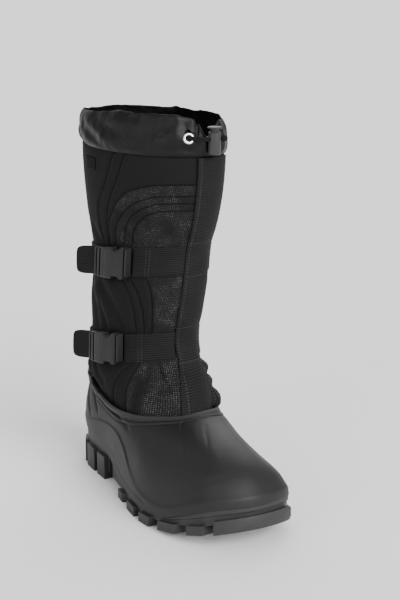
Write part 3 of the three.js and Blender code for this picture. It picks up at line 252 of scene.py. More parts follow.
# Its creases, as turns from the back and heights over BOOT_HEIGHT, how deep and how wide in millimetres.
COLLAR_CREASES = [
    ([(0.15, 0.965), (0.19, 0.945), (0.23, 0.925)], 1.0, 4.0),
    ([(0.2, 0.985), (0.24, 0.962), (0.28, 0.95), (0.33, 0.955), (0.37, 0.965)], 1.1, 5.0),
    ([(0.27, 0.93), (0.31, 0.938), (0.36, 0.926), (0.41, 0.93), (0.45, 0.925)], 0.9, 4.0),
    ([(0.3, 0.985), (0.34, 0.975), (0.39, 0.978), (0.42, 0.97)], 1.0, 5.0),
    ([(0.05, 0.97), (0.09, 0.955), (0.13, 0.94)], 1.0, 5.0),
    ([(0.93, 0.965), (0.97, 0.95), (0.99, 0.935)], 1.0, 5.0),
    ([(0.6, 0.975), (0.66, 0.955), (0.72, 0.96)], 1.0, 5.0),
    ([(0.68, 0.935), (0.75, 0.945), (0.82, 0.93)], 0.9, 4.0),
    ([(0.8, 0.98), (0.86, 0.965), (0.9, 0.97)], 1.0, 5.0),
]


def mm(points):
    """Points of the frame in the tables' millimetres."""
    return (np.asarray(points, float) - np.array(HEEL)) / MM


def metres(points):
    """Points of the tables in the frame's metres."""
    return np.asarray(points, float) * MM + np.array(HEEL)


def section(name, rise):
    """A column of the shaft's sections at some heights, eased between the rows as in the part."""
    column = ["rise", "climb", "back", "across", "length", "width", "turn"].index(name)
    rises = SECTIONS[:, 0]
    held = np.clip(rise, rises[0], rises[-1])
    row = np.clip(np.searchsorted(rises, held, side="right") - 1, 0, len(rises) - 2)
    share = (held - rises[row]) / (rises[row + 1] - rises[row])
    eased = share + 0.5 * (share * share * (3 - 2 * share) - share)
    return SECTIONS[row, column] * (1 - eased) + SECTIONS[row + 1, column] * eased


def on_shaft(points):
    """The turn round the shaft, the height over BOOT_HEIGHT and the outward direction at points in mm."""
    along, across, up = -points[:, 1], points[:, 0], points[:, 2]
    rise = up / BOOT_HEIGHT
    for _ in range(SETTLING_ROUNDS):
        half_length = section("length", rise) * SHAFT_LENGTH / 2
        half_width = section("width", rise) * SHAFT_WIDTH / 2
        swing = np.radians(section("turn", rise))
        x = along - section("back", rise) * SOLE_LENGTH - half_length * np.cos(swing)
        y = across - section("across", rise) * SHAFT_WIDTH
        nose = (x * np.cos(swing) + y * np.sin(swing)) / half_length
        flank = (y * np.cos(swing) - x * np.sin(swing)) / half_width
        nose_share = nose / np.maximum(np.hypot(nose, flank), 1e-6)
        rise = up / BOOT_HEIGHT - section("climb", rise) * nose_share
    turn = (np.arctan2(-flank, -nose) / (2 * np.pi)) % 1
    out_x, out_y = nose / half_length, flank / half_width
    size = np.maximum(np.hypot(out_x, out_y), 1e-9)
    out_x, out_y = out_x / size, out_y / size
    out = np.stack([
        out_x * np.sin(swing) + out_y * np.cos(swing),
        -(out_x * np.cos(swing) - out_y * np.sin(swing)),
        np.zeros_like(out_x),
    ], axis=1)
    return turn, rise, out


def shaft_place(turn, rise):
    """The places of turns and heights on the shaft's plain sections, in mm."""
    swing = np.radians(section("turn", rise))
    x = -section("length", rise) * SHAFT_LENGTH / 2 * np.cos(2 * np.pi * turn)
    y = -section("width", rise) * SHAFT_WIDTH / 2 * np.sin(2 * np.pi * turn)
    return np.stack([
        section("across", rise) * SHAFT_WIDTH + x * np.sin(swing) + y * np.cos(swing),
        -(section("back", rise) * SOLE_LENGTH + section("length", rise) * SHAFT_LENGTH / 2 + x * np.cos(swing)
          - y * np.sin(swing)),
        (rise + section("climb", rise) * -np.cos(2 * np.pi * turn)) * BOOT_HEIGHT,
    ], axis=1)


# How far round the cloth a turn lies, in millimetres, on the shaft's middling section.
GIRTH_HALF_LENGTH = 75
GIRTH_HALF_WIDTH = 47
GIRTH_TURNS = np.linspace(0, 1, 721)
GIRTH_PLACES = np.concatenate([[0], np.cumsum(np.hypot(
    np.diff(-np.cos(GIRTH_TURNS * 2 * np.pi) * GIRTH_HALF_LENGTH),
    np.diff(-np.sin(GIRTH_TURNS * 2 * np.pi) * GIRTH_HALF_WIDTH),
))])
GIRTH = GIRTH_PLACES[-1]


def round_cloth(turn):
    return np.interp(turn, GIRTH_TURNS, GIRTH_PLACES)


def on_flat(turn, rise):
    """Places on the flat cloth, in millimetres."""
    return np.stack([round_cloth(turn), rise * BOOT_HEIGHT], axis=1)


def cloth_line(points, mirrored=False):
    """A table's line of turns and heights, in millimetres on the flat cloth."""
    line = np.array(points, float)
    turn = 1 - line[:, 0] if mirrored else line[:, 0]
    return on_flat(turn, line[:, 1])


def distance_along(line, places):
    """The distance of each place to a line of points, and how far along the line its nearest point is."""
    best = np.full(len(places), 1e9)
    along = np.zeros(len(places))
    walked = 0.0
    for start, end in zip(line[:-1], line[1:]):
        run = end - start
        length = math.sqrt(run @ run)
        share = np.clip(((places - start) @ run) / max(length * length, 1e-9), 0, 1)
        gap = places - (start + share[:, None] * run)
        gap = np.sqrt((gap * gap).sum(axis=1))
        along = np.where(gap < best, walked + share * length, along)
        best = np.minimum(best, gap)
        walked += length
    return best, along


def distance_to(line, places):
    return distance_along(line, places)[0]


def panel_edge(lines, flat):
    """Each place's distance in millimetres to a panel's sewn edges, below nought inside the panel, and how
    far along the nearest edge it is."""
    nearest = np.full(len(flat), 1e9)
    along = np.zeros(len(flat))
    within = np.zeros(len(flat), bool)
    for line in lines:
        left, right = cloth_line(line), cloth_line(line, True)
        for side in (left, right):
            gap, walked = distance_along(side, flat)
            along = np.where(gap < nearest, walked, along)
            nearest = np.minimum(nearest, gap)
        within |= inside(np.concatenate([left, right[::-1]]), flat)
    return np.where(within, -nearest, nearest), along


def smoothly(value, low, high):
    share = np.clip((value - low) / (high - low), 0, 1)
    return share * share * (3 - 2 * share)


def hump(distance, width):
    return np.exp(-(distance / width) ** 2)


def inside(outline, places):
    """Whether places on the flat cloth lie inside a closed outline."""
    found = np.zeros(len(places), bool)
    x, y = places[:, 0], places[:, 1]
    for (ax, ay), (bx, by) in zip(outline, np.roll(outline, -1, axis=0)):
        crosses = (ay > y) != (by > y)
        with np.errstate(divide="ignore", invalid="ignore"):
            found ^= crosses & (x < (bx - ax) * (y - ay) / (by - ay) + ax)
    return found


# Pieces
def placed(name, data):
    """A new object in the scene."""
    thing = bpy.data.objects.new(name, data)
    bpy.context.scene.collection.objects.link(thing)
    return thing


def mesh_of(name, work):
    """The mesh of a bmesh, which is freed."""
    mesh = bpy.data.meshes.new(name)
    work.to_mesh(mesh)
    work.free()
    return mesh


def closed(node):
    """A bmesh of a CAD node with its loose triangles merged."""
    work = bmesh.new()
    work.from_mesh(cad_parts[node].data)
    bmesh.ops.remove_doubles(work, verts=work.verts, dist=SAME_POINT * MM)
    return work


def merged(node):
    """A bmesh of a CAD node with its triangles joined to quads."""
    work = closed(node)
    bmesh.ops.join_triangles(
        work,
        faces=work.faces,
        angle_face_threshold=math.radians(30),
        angle_shape_threshold=math.radians(75),
    )
    for layer in list(work.loops.layers.uv.values()):
        work.loops.layers.uv.remove(layer)
    return work


def subdivided(work, levels):
    """The finished mesh of a bmesh after its subdivision surface."""
    cage = placed("cage", mesh_of("cage", work))
    surface = cage.modifiers.new("Surface", "SUBSURF")
    surface.levels = surface.render_levels = levels
    graph = bpy.context.evaluated_depsgraph_get()
    mesh = bpy.data.meshes.new_from_object(cage.evaluated_get(graph))
    spent = cage.data
    bpy.data.objects.remove(cage)
    bpy.data.meshes.remove(spent)
    return mesh


def stand_for(name, mesh, material, slot, *nodes, body="boot"):
    """Places a finished mesh as the piece that stands for some CAD nodes."""
    thing = placed(name, mesh)
    mesh.materials.clear()
    mesh.materials.append(material)
    mesh.polygons.foreach_set("use_smooth", [True] * len(mesh.polygons))
    if nodes:
        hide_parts(*nodes)
    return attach(thing, body)


def corners(mesh, value="co"):
    """The places of a mesh's corners, or with "normal" their directions."""
    found = np.zeros(len(mesh.vertices) * 3)
    mesh.vertices.foreach_get(value, found)
    return found.reshape(-1, 3)


def move_corners(mesh, points):
    mesh.vertices.foreach_set("co", np.asarray(points, float).ravel())
    mesh.update()


def outward(mesh, out):
    """A wall's corner directions, all turned to the shaft's outside."""
    normals = corners(mesh, "normal")
    facing = (normals * out).sum(axis=1)
    turned = normals * np.sign(facing)[:, None]
    return np.where((np.abs(facing) > 0.35)[:, None], turned, out)


def number_corners(mesh, name, values):
    layer = mesh.attributes.new(name, "FLOAT", "POINT")
    layer.data.foreach_set("value", np.asarray(values, float))


def lay_cloth(mesh, turn, rise):
    """A UV map in decimetres that lies on the cloth: round the shaft, and up."""
    loops = np.zeros(len(mesh.loops), int)
    mesh.loops.foreach_get("vertex_index", loops)
    starts = np.zeros(len(mesh.polygons), int)
    mesh.polygons.foreach_get("loop_start", starts)
    face = np.repeat(np.arange(len(starts)), np.diff(np.append(starts, len(loops))))
    round_it = round_cloth(turn)[loops]
    widest = np.full(len(starts), -1e9)
    np.maximum.at(widest, face, round_it)
    round_it = np.where(widest[face] - round_it > GIRTH / 2, round_it + GIRTH, round_it)
    flat = np.stack([round_it, rise[loops] * BOOT_HEIGHT], axis=1) / 100
    mesh.uv_layers.new(name="cloth").data.foreach_set("uv", flat.ravel())


def bevelled(name, node, material, slot, width, body="boot", segments=3):
    """A CAD node's shape with its sharp edges rounded."""
    work = closed(node)
    bmesh.ops.dissolve_limit(
        work, angle_limit=math.radians(1.5), verts=work.verts, edges=work.edges, use_dissolve_boundaries=False
    )
    mesh = mesh_of(name, work)
    thing = stand_for(name, mesh, material, slot, node, body=body)
    edge = thing.modifiers.new("Edges", "BEVEL")
    edge.width = width * MM
    edge.segments = segments
    edge.limit_method = "ANGLE"
    edge.angle_limit = math.radians(28)
    edge.harden_normals = True
    return thing


# Materials
PLAIT_PITCH = 1.3


class Finish:
    """A procedural material, built up node by node."""

    def __init__(self, name, color, roughness, **sockets):
        self.material = bpy.data.materials.new(name)
        self.material.use_nodes = True
        self.nodes = self.material.node_tree.nodes
        self.links = self.material.node_tree.links
        self.shader = self.nodes["Principled BSDF"]
        self.shader.inputs["Base Color"].default_value = (*color, 1)
        self.shader.inputs["Roughness"].default_value = roughness
        for socket, value in sockets.items():
            self.shader.inputs[socket.replace("_", " ")].default_value = value

    def join(self, source, target):
        self.links.new(source, target)

    def place(self, uv=None):
        """The coordinates of a pattern: a UV map's, or the object's own."""
        if uv:
            node = self.nodes.new("ShaderNodeUVMap")
            node.uv_map = uv
            return node.outputs["UV"]
        return self.nodes.new("ShaderNodeTexCoord").outputs["Object"]

    def maths(self, operation, first, second=0.0, third=0.0):
        node = self.nodes.new("ShaderNodeMath")
        node.operation = operation
        for socket, value in zip(node.inputs, (first, second, third)):
            if isinstance(value, (int, float)):
                socket.default_value = value
            else:
                self.join(value, socket)
        return node.outputs[0]

    def split(self, vector):
        node = self.nodes.new("ShaderNodeSeparateXYZ")
        self.join(vector, node.inputs[0])
        return node.outputs

    def noise(self, vector, scale, detail=3.0, roughness=0.55):
        node = self.nodes.new("ShaderNodeTexNoise")
        node.inputs["Scale"].default_value = scale
        node.inputs["Detail"].default_value = detail
        node.inputs["Roughness"].default_value = roughness
        self.join(vector, node.inputs["Vector"])
        return node.outputs["Fac"]

    def number(self, name):
        node = self.nodes.new("ShaderNodeAttribute")
        node.attribute_name = name
        return node.outputs["Fac"]

    def ramp(self, value, stops):
        node = self.nodes.new("ShaderNodeValToRGB")
        marks = node.color_ramp.elements
        while len(marks) < len(stops):
            marks.new(0.5)
        for mark, (at, shade) in zip(marks, stops):
            mark.position = at
            mark.color = (*shade, 1)
        self.join(value, node.inputs[0])
        return node.outputs["Color"]

    def mixed(self, share, first, second):
        node = self.nodes.new("ShaderNodeMix")
        node.data_type = "RGBA"
        self.join(share, node.inputs["Factor"])
        for socket, value in ((node.inputs[6], first), (node.inputs[7], second)):
            if isinstance(value, tuple):
                socket.default_value = (*value, 1)
            else:
                self.join(value, socket)
        return node.outputs[2]

    def times(self, first, second):
        return self.maths("MULTIPLY", first, second)

    def scaled(self, value, by, plus):
        return self.maths("MULTIPLY_ADD", value, by, plus)

    def color(self, shade):
        self.join(shade, self.shader.inputs["Base Color"])

    def rough(self, pattern, spread, least):
        """The roughness follows a pattern of 0 to 1."""
        self.join(self.scaled(pattern, spread, least), self.shader.inputs["Roughness"])

    def bump(self, height, depth, strength=1.0):
        node = self.nodes.new("ShaderNodeBump")
        node.inputs["Strength"].default_value = strength
        node.inputs["Distance"].default_value = depth * MM
        self.join(height, node.inputs["Height"])
        if self.shader.inputs["Normal"].is_linked:
            self.join(self.shader.inputs["Normal"].links[0].from_socket, node.inputs["Normal"])
        self.join(node.outputs[0], self.shader.inputs["Normal"])


def weave_height(finish, round_it, up, pitch, slant=0.0):
    """A basket weave's height from places on the cloth in decimetres and its pitch in millimetres."""
    turns = 2 * math.pi * 100 / pitch
    across = finish.maths("ADD", round_it, finish.times(up, slant))
    along = finish.maths("SUBTRACT", up, finish.times(round_it, slant))
    first = finish.maths("SINE", finish.times(across, turns))
    second = finish.maths("SINE", finish.times(along, turns))
    return finish.scaled(finish.times(first, second), 0.5, 0.5)


def near(finish, value, at, width):
    """1 where a value in millimetres is at some number, and 0 away from it."""
    gap = finish.maths("DIVIDE", finish.maths("SUBTRACT", value, at), width)
    return finish.maths("EXPONENT", finish.times(finish.times(gap, gap), -1.0))


def groove(finish, name, width, shift=0.0):
    """A line along an edge, from the distance that the mesh carries in millimetres."""
    return near(finish, finish.number(name), shift, width)


def dashes_of(finish, value, share, level):
    """Stitches: 1 and 0 by turns as a value in millimetres grows."""
    return finish.maths("GREATER_THAN", finish.maths("SINE", finish.times(value, share)), level)


def largest(finish, values):
    found = values[0]
    for value in values[1:]:
        found = finish.maths("MAXIMUM", found, value)
    return found


def shaft_cloth():
    finish = Finish("shaft_nylon", (0.0065, 0.0065, 0.0067), 0.85, Sheen_Weight=0.02, Sheen_Roughness=0.4,
                    Specular_IOR_Level=0.1)
    round_it, up, _ = finish.split(finish.place("cloth"))
    coarse = finish.maths("SMOOTH_MIN", finish.times(finish.number("coarse"), -2.0), 1.0, 0.2)
    coarse = finish.maths("MAXIMUM", coarse, 0.0)
    fine_weave = weave_height(finish, round_it, up, 1.0)
    sway = finish.times(finish.noise(finish.place(), 110, 2), 0.012)
    coarse_weave = weave_height(
        finish, finish.maths("ADD", round_it, sway), finish.maths("SUBTRACT", up, sway), 3.0, slant=0.75
    )
    patches = finish.noise(finish.place(), 45, 2)
    # Painted shade: the cloth is darkened nearly to black along the sewn edges' grooves, on top of their
    # bump.
    seams = largest(finish, [groove(finish, name, 0.75) for name in PANEL_EDGES])
    dashes = dashes_of(finish, finish.number("along"), 2 * math.pi / 3.0, -0.35)
    beside = [groove(finish, name, 0.38, -1.7) for name in PANEL_EDGES]
    thread = finish.times(dashes, largest(finish, beside))
    specks = finish.times(finish.maths("POWER", coarse_weave, 3.0), coarse)
    specks = finish.times(specks, finish.scaled(patches, 2.6, -0.8))
    uneven = finish.noise(finish.place(), 480, 1)
    specks = finish.times(specks, finish.scaled(uneven, 3.2, -0.65))
    shade = finish.ramp(specks, [(0.0, (0.0062, 0.0062, 0.0064)), (0.4, (0.03, 0.03, 0.031)),
                                 (1.0, (0.12, 0.12, 0.123))])
    grain = finish.times(fine_weave, finish.noise(finish.place(), 700, 2))
    shade = finish.mixed(finish.times(grain, 0.35), shade, (0.026, 0.026, 0.0267))
    shade = finish.mixed(thread, shade, (0.016, 0.016, 0.0165))
    # Painted shade in the seam grooves.
    shade = finish.mixed(finish.times(seams, 0.75), shade, (0.0015, 0.0015, 0.0015))
    finish.color(shade)
    finish.bump(finish.times(coarse_weave, coarse), 0.45, 0.9)
    finish.bump(fine_weave, 0.1, 0.6)
    finish.bump(finish.maths("SUBTRACT", finish.times(thread, 0.35), seams), 0.8, 0.9)
    finish.bump(finish.noise(finish.place(), 900, 2), 0.1, 0.4)
    return finish.material


def webbing_cloth(name, stitches_across, stitches_up, edge_stitches):
    """Ribbed webbing, stitched at places round the cloth, at heights up it, and along its edges if asked."""
    finish = Finish(name, (0.012, 0.012, 0.0125), 0.75, Sheen_Weight=0.03, Sheen_Roughness=0.35,
                    Specular_IOR_Level=0.14)
    round_it, up, _ = finish.split(finish.place("cloth"))
    round_mm = finish.times(round_it, 100.0)
    up_mm = finish.times(up, 100.0)
    rib = finish.maths("SINE", finish.times(up_mm, 2 * math.pi / RIB_PITCH))
    thread = finish.maths("SINE", finish.times(round_mm, 2 * math.pi / RIB_THREAD))
    height = finish.scaled(rib, 0.35, finish.scaled(thread, 0.06, 0.5))
    wear = finish.noise(finish.place(), 60, 3)
    worn_height = finish.times(height, finish.scaled(wear, 0.8, 0.6))
    shade = finish.ramp(worn_height, [(0.1, (0.003, 0.003, 0.0031)), (0.9, (0.0125, 0.0125, 0.013))])
    dash_up = dashes_of(finish, up_mm, 2.1, -0.2)
    dash_round = dashes_of(finish, round_mm, 2.1, -0.2)
    seams = [finish.times(near(finish, round_mm, at, 0.45), dash_up) for at in stitches_across]
    seams += [finish.times(near(finish, up_mm, at, 0.45), dash_round) for at in stitches_up]
    if edge_stitches:
        edge = groove(finish, "off_middle", 0.45, TAPE_HALF - TAPE_STITCH_EDGE)
        seams.append(finish.times(edge, dash_up))
    stitched = largest(finish, seams)
    worn = finish.times(stitched, finish.scaled(wear, 1.6, -0.2))
    shade = finish.mixed(worn, shade, (0.045, 0.045, 0.046))
    finish.bump(stitched, 0.35, 0.9)
    finish.color(shade)
    finish.bump(height, 0.35, 0.9)
    return finish.material


def label_satin():
    finish = Finish("label_satin", (0.004, 0.004, 0.0042), 0.75, Specular_IOR_Level=0.08)
    round_it, up, _ = finish.split(finish.place("cloth"))
    weave = weave_height(finish, round_it, up, 0.7)
    shade = finish.mixed(weave, (0.0028, 0.0028, 0.0029), (0.0055, 0.0055, 0.0057))
    finish.color(shade)
    finish.bump(weave, 0.05, 0.6)
    return finish.material


def shell_rubber():
    finish = Finish("shell_rubber", (0.012, 0.012, 0.0123), 0.56, Specular_IOR_Level=0.33)
    own = finish.place()
    patches = finish.noise(own, 14, 4)
    shade = finish.mixed(patches, (0.006, 0.006, 0.0062), (0.0105, 0.0105, 0.0107))
    # Painted shade: the rubber is darkened nearly to black along its grooved lines and the rim's dips, on top
    # of their bump.
    lines = groove(finish, "line", 0.8)
    rim = finish.times(groove(finish, "rim", 3.2), 0.7)
    shade = finish.mixed(rim, shade, (0.034, 0.034, 0.0347))
    shade = finish.mixed(finish.times(lines, 0.7), shade, (0.002, 0.002, 0.002))
    finish.color(shade)
    finish.rough(finish.noise(own, 30, 4), 0.16, 0.47)
    finish.bump(lines, 0.6, -0.8)
    finish.bump(finish.noise(own, 1400, 2), 0.05, 0.5)
    finish.bump(finish.noise(own, 120, 2), 0.12, 0.35)
    return finish.material


def outsole_rubber():
    finish = Finish("outsole_rubber", (0.016, 0.016, 0.0165), 0.58, Specular_IOR_Level=0.4)
    own = finish.place()
    patches = finish.noise(own, 25, 4)
    shade = finish.mixed(patches, (0.013, 0.013, 0.0134), (0.023, 0.023, 0.0236))
    finish.color(shade)
    finish.rough(patches, 0.2, 0.48)
    finish.bump(finish.noise(own, 1100, 2), 0.06, 0.5)
    return finish.material


def collar_nylon():
    finish = Finish("collar_nylon", (0.0025, 0.0025, 0.0026), 0.4, Sheen_Weight=0.01, Specular_IOR_Level=0.19)
    round_it, up, _ = finish.split(finish.place("cloth"))
    weave = weave_height(finish, round_it, up, 0.9)
    own = finish.place()
    finish.rough(finish.noise(own, 35, 3), 0.25, 0.33)
    creases = finish.maths("ABSOLUTE", finish.maths("SUBTRACT", finish.noise(own, 42, 3, 0.5), 0.5))
    finish.bump(finish.times(creases, -1.0), 5.0, 0.5)
    finish.bump(weave, 0.05, 0.5)
    return finish.material


def moulded_plastic(name, shade, roughness):
    finish = Finish(name, (shade, shade, shade * 1.03), roughness, Specular_IOR_Level=0.22)
    own = finish.place()
    tone = finish.mixed(finish.noise(own, 60, 3), (shade * 0.9, shade * 0.9, shade * 0.93),
                        (shade * 1.12, shade * 1.12, shade * 1.15))
    finish.color(tone)
    finish.rough(finish.noise(own, 90, 3), 0.14, roughness - 0.07)
    finish.bump(finish.noise(own, 1600, 2), 0.03, 0.5)
    return finish.material


def plated_metal():
    finish = Finish("eyelet_metal", (0.72, 0.72, 0.72), 0.22, Metallic=1.0)
    own = finish.place()
    finish.rough(finish.noise(own, 300, 4), 0.2, 0.14)
    finish.bump(finish.noise(own, 700, 3), 0.02, 0.3)
    return finish.material


def braided_cord():
    finish = Finish("braided_cord", (0.007, 0.007, 0.0072), 0.8, Sheen_Weight=0.02, Specular_IOR_Level=0.12)
    x, y, z = finish.split(finish.place())
    turns = 2 * math.pi / (PLAIT_PITCH * MM)
    first = finish.maths("SINE", finish.times(finish.maths("ADD", x, z), turns))
    second = finish.maths("SINE", finish.times(finish.maths("SUBTRACT", x, z), turns))
    plait = finish.scaled(finish.times(first, second), 0.5, 0.5)
    shade = finish.ramp(plait, [(0.0, (0.003, 0.003, 0.003)), (1.0, (0.012, 0.012, 0.012))])
    finish.color(shade)
    finish.bump(plait, 0.25, 0.8)
    return finish.material


def insole_felt():
    finish = Finish("insole_felt", (0.014, 0.014, 0.0145), 0.95, Sheen_Weight=0.1)
    own = finish.place()
    shade = finish.mixed(finish.noise(own, 500, 4), (0.014, 0.014, 0.015), (0.03, 0.03, 0.031))
    finish.color(shade)
    finish.bump(finish.noise(own, 900, 4, 0.7), 0.4, 0.8)
    return finish.material


# Camera
camera = placed("camera", bpy.data.cameras.new("camera"))
bpy.context.scene.camera = camera
CAMERA_AZIMUTH = math.radians(-28.23)
CAMERA_HEIGHT = math.radians(14.11)
CAMERA_TARGET = Vector(metres((113.6, 1.1, 150.0)))
CAMERA_DISTANCE = 1.56
back = Vector((
    math.sin(CAMERA_AZIMUTH) * math.cos(CAMERA_HEIGHT),
    -math.cos(CAMERA_AZIMUTH) * math.cos(CAMERA_HEIGHT),
    math.sin(CAMERA_HEIGHT),
))
camera.location = CAMERA_TARGET + back * CAMERA_DISTANCE
camera.rotation_mode = "QUATERNION"
camera.rotation_quaternion = (-back).to_track_quat("-Z", "Y")
camera.data.lens = 84
camera.data.sensor_width = 36
camera.data.clip_start = 0.05
camera.data.clip_end = 20

# What each piece is made of
cloth = shaft_cloth()
strap_stitches = [float(round_cloth(turn)) for turn in STRAP_STITCH_TURNS]
strap_cloth = webbing_cloth("strap_webbing", strap_stitches, [], False)
tape_stitches = [
    (rise + side * TAPE_STITCH_OFF) * BOOT_HEIGHT for rise in STRAP_RISES.values() for side in (-1, 1)
]
tape_cloth = webbing_cloth("tape_webbing", [], tape_stitches, True)
rubber = shell_rubber()
sole_rubber = outsole_rubber()
nylon = collar_nylon()
label_cloth = label_satin()
buckle_plastic = moulded_plastic("buckle_plastic", 0.0135, 0.5)
lock_plastic = moulded_plastic("lock_plastic", 0.03, 0.4)
metal = plated_metal()
cord_cloth = braided_cord()
felt = insole_felt()


# Drawcord: two strands from the eyelet through the lock to the knot, in millimetres
CORD_RADIUS = 0.95
KNOT_RADIUS, KNOT_RELIEF, KNOT_FLATNESS = 3.9, 0.07, 0.86
KNOT_WINDING, KNOT_SLANT = 2.1, 1.3


def middle_of(node):
    low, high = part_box(node)
    return (low + high) / 2


def cord_strand(name, lift, replaced=()):
    """One strand of the cord, that runs so many millimetres above or below the middle of the two."""
    eyelet, lock, knot = middle_of("eyelet"), middle_of("lock_barrel"), middle_of("cord_knot")
    hole = Vector((lock.x, lock.y, knot.z))
    side = (knot - hole).normalized()
    inward = Vector((middle_of("snow_collar").x, middle_of("snow_collar").y, eyelet.z)) - eyelet
    inward.normalize()
    up = Vector((0, 0, lift * MM))
    route = [
        eyelet + inward * 9 * MM - side * 1.5 * MM + up * 0.5,
        eyelet + inward * 3 * MM - side * 0.6 * MM + up * 0.7,
        eyelet - inward * 2.4 * MM + side * 0.8 * MM + up,
        eyelet - inward * 4.0 * MM + side * 4.0 * MM + up * 1.1,
        (eyelet - inward * 4.0 * MM).lerp(hole - side * 9 * MM, 0.5) + up * 1.2,
        hole - side * 9 * MM + up,
        hole - side * 5 * MM + up * 0.8,
        hole + up * 0.8,
        hole + side * 5.6 * MM + up * 0.8,
    ]
    curve = bpy.data.curves.new(name, "CURVE")
    curve.dimensions = "3D"
    curve.bevel_depth = CORD_RADIUS * MM
    curve.bevel_resolution = 3
    curve.resolution_u = 6
    curve.use_fill_caps = True
    spline = curve.splines.new("NURBS")
    spline.points.add(len(route) - 1)
    for point, place in zip(spline.points, route):
        point.co = (*place, 1)
    spline.order_u = 4
    spline.use_endpoint_u = True
    strand = placed(name, curve)
    curve.materials.append(cord_cloth)
    if replaced:
        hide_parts(*replaced)
    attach(strand, "boot")
    return strand, route


def curve_length(thing):
    """A curve's own length, without its thickness."""
    flat = thing.data.copy()
    flat.bevel_depth = 0
    ruler = placed("ruler", flat)
    graph = bpy.context.evaluated_depsgraph_get()
    mesh = bpy.data.meshes.new_from_object(ruler.evaluated_get(graph))
    points = [v.co.copy() for v in mesh.vertices]
    length = sum((b - a).length for a, b in zip(points[:-1], points[1:]))
    bpy.data.objects.remove(ruler)
    bpy.data.curves.remove(flat)
    bpy.data.meshes.remove(mesh)
    return length


def draw_cords():
    upper, route = cord_strand("cord_strand_upper", 1.0, ("drawcord",))
    lower, lower_route = cord_strand("cord_strand_lower", -1.0)
    knot = knotted_end()
    curve_length(upper)
    curve_length(lower)


def knotted_end():
    """The strands' overhand knot: a cord wound three times round itself."""
    centre = middle_of("cord_knot")
    work = bmesh.new()
    bmesh.ops.create_uvsphere(work, u_segments=48, v_segments=32, radius=KNOT_RADIUS * MM)
    for corner in work.verts:
        place = corner.co / MM
        angle = math.atan2(place.z, place.y)
        wound = math.sin(place.x * KNOT_WINDING + KNOT_SLANT * math.sin(angle) + angle)
        corner.co = place * (1 - KNOT_RELIEF + KNOT_RELIEF * wound) * MM
        corner.co.z *= KNOT_FLATNESS
    bmesh.ops.translate(work, vec=centre, verts=work.verts)
    mesh = mesh_of("cord_end_knot", work)
    return stand_for("cord_end_knot", mesh, cord_cloth, "cord", "cord_knot")


draw_cords()


# Shaft
def crumples(points):
    """Soft creases of thin cloth at points in mm, from about -1 to 1: sharp on top and round below."""
    found = np.zeros(len(points))
    for size, share in CRUMPLE_SIZES:
        wave = np.array([noise.noise(Vector(point) / size) for point in points])
        found = found + share * (1 - 4 * np.abs(wave))
    return found


def tape_middle(rise):
    """The turn at the tape's middle: it leans to the outer side at its foot."""
    return 0.5 - TAPE_SHIFT * smoothly(TAPE_SHIFT_TOP - rise, 0.0, TAPE_SHIFT_RUN)


def tape_share(rise):
    """How much of its full width the tape has: it is narrower towards its foot."""
    return 1 - TAPE_TAPER * smoothly(TAPE_TAPER_TOP - rise, 0.0, TAPE_TAPER_RUN)


def clear_of_webbing(turn, rise):
    """How far places on the cloth are from under a strap or the tape: 0 under it, and 1 clear of it."""
    full = WEBBING_MARGIN + WEBBING_EASE
    clear = np.ones(len(turn))
    for middle in STRAP_RISES.values():
        clear *= smoothly(np.abs(rise - middle) * BOOT_HEIGHT - STRAP_HALF, WEBBING_MARGIN, full)
    tape = TAPE_HALF * tape_share(rise)
    from_middle = np.abs(round_cloth(turn) - round_cloth(tape_middle(rise)))
    return clear * np.maximum(smoothly(from_middle - tape, WEBBING_MARGIN, full), rise < TAPE_END)


def shaft_piece():
    mesh = subdivided(merged("shaft"), 3)
    points = mm(corners(mesh))
    turn, rise, out = on_shaft(points)
    flat = on_flat(turn, rise)
    clear = clear_of_webbing(turn, rise)
    height = -WEBBING_PRESS * (1 - clear)
    along, nearest = np.zeros(len(flat)), np.full(len(flat), 1e9)
    for name, lines in PANEL_EDGES.items():
        edge, walked = panel_edge(lines, flat)
        number_corners(mesh, name, edge)
        along = np.where(np.abs(edge) < nearest, walked, along)
        nearest = np.minimum(nearest, np.abs(edge))
    number_corners(mesh, "along", along)
    padding = -SEAM_DEPTH * hump(nearest, SEAM_HALF)
    padding = padding + PADDING_SWELL * hump(nearest - PADDING_OFF, PADDING_HALF)
    for line, depth, width in FOLDS:
        for mirrored in ((False, True) if line[0][0] < MIRRORED_BELOW else (False,)):
            gap = distance_to(cloth_line(line, mirrored), flat)
            padding = padding - depth * hump(gap, width)
    for at_turn, at_rise, swell, half_width, half_height in PUFFS:
        across = (flat[:, 0] - round_cloth(at_turn)) / half_width
        above = (flat[:, 1] - at_rise * BOOT_HEIGHT) / half_height
        padding = padding + swell * np.exp(-across * across - above * above)
    height = height + padding * clear * smoothly(points[:, 2], RELIEF_FOOT, RELIEF_FULL)
    over = points[:, 2] - SHAFT_TOP_MIDDLE - SHAFT_TOP_TILT * np.cos(2 * np.pi * turn)
    height = height - SHAFT_TOP_TUCK * smoothly(over, -8.0, -4.0)
    points = points + outward(mesh, out) * height[:, None]
    points[:, 2] += (hem_lift(turn) + SHAFT_TOP_LIFT) * smoothly(over, -18.0, -3.0)
    move_corners(mesh, metres(points))
    lay_cloth(mesh, turn, rise)
    return stand_for("shaft_cloth", mesh, cloth, "shaft_fabric", "shaft")


LOOK_FROM = 90
LOOK_FAR = 140


def surface_of(mesh):
    return BVHTree.FromPolygons([tuple(p) for p in corners(mesh)], [tuple(f.vertices) for f in mesh.polygons])


def cast_inwards(surface, points, out):
    """The places on a surface met from outside by looking in at points in mm."""
    met = []
    for point, away in zip(metres(points), out):
        away = Vector(away)
        hit = surface.ray_cast(Vector(point) + away * LOOK_FROM * MM, -away, LOOK_FAR * MM)[0]
        met.append(tuple(hit if hit else Vector(point)))
    return mm(met)


def height_over(surface, points, out):
    """How far points stand off a surface, in mm."""
    return ((points - cast_inwards(surface, points, out)) * out).sum(axis=1)


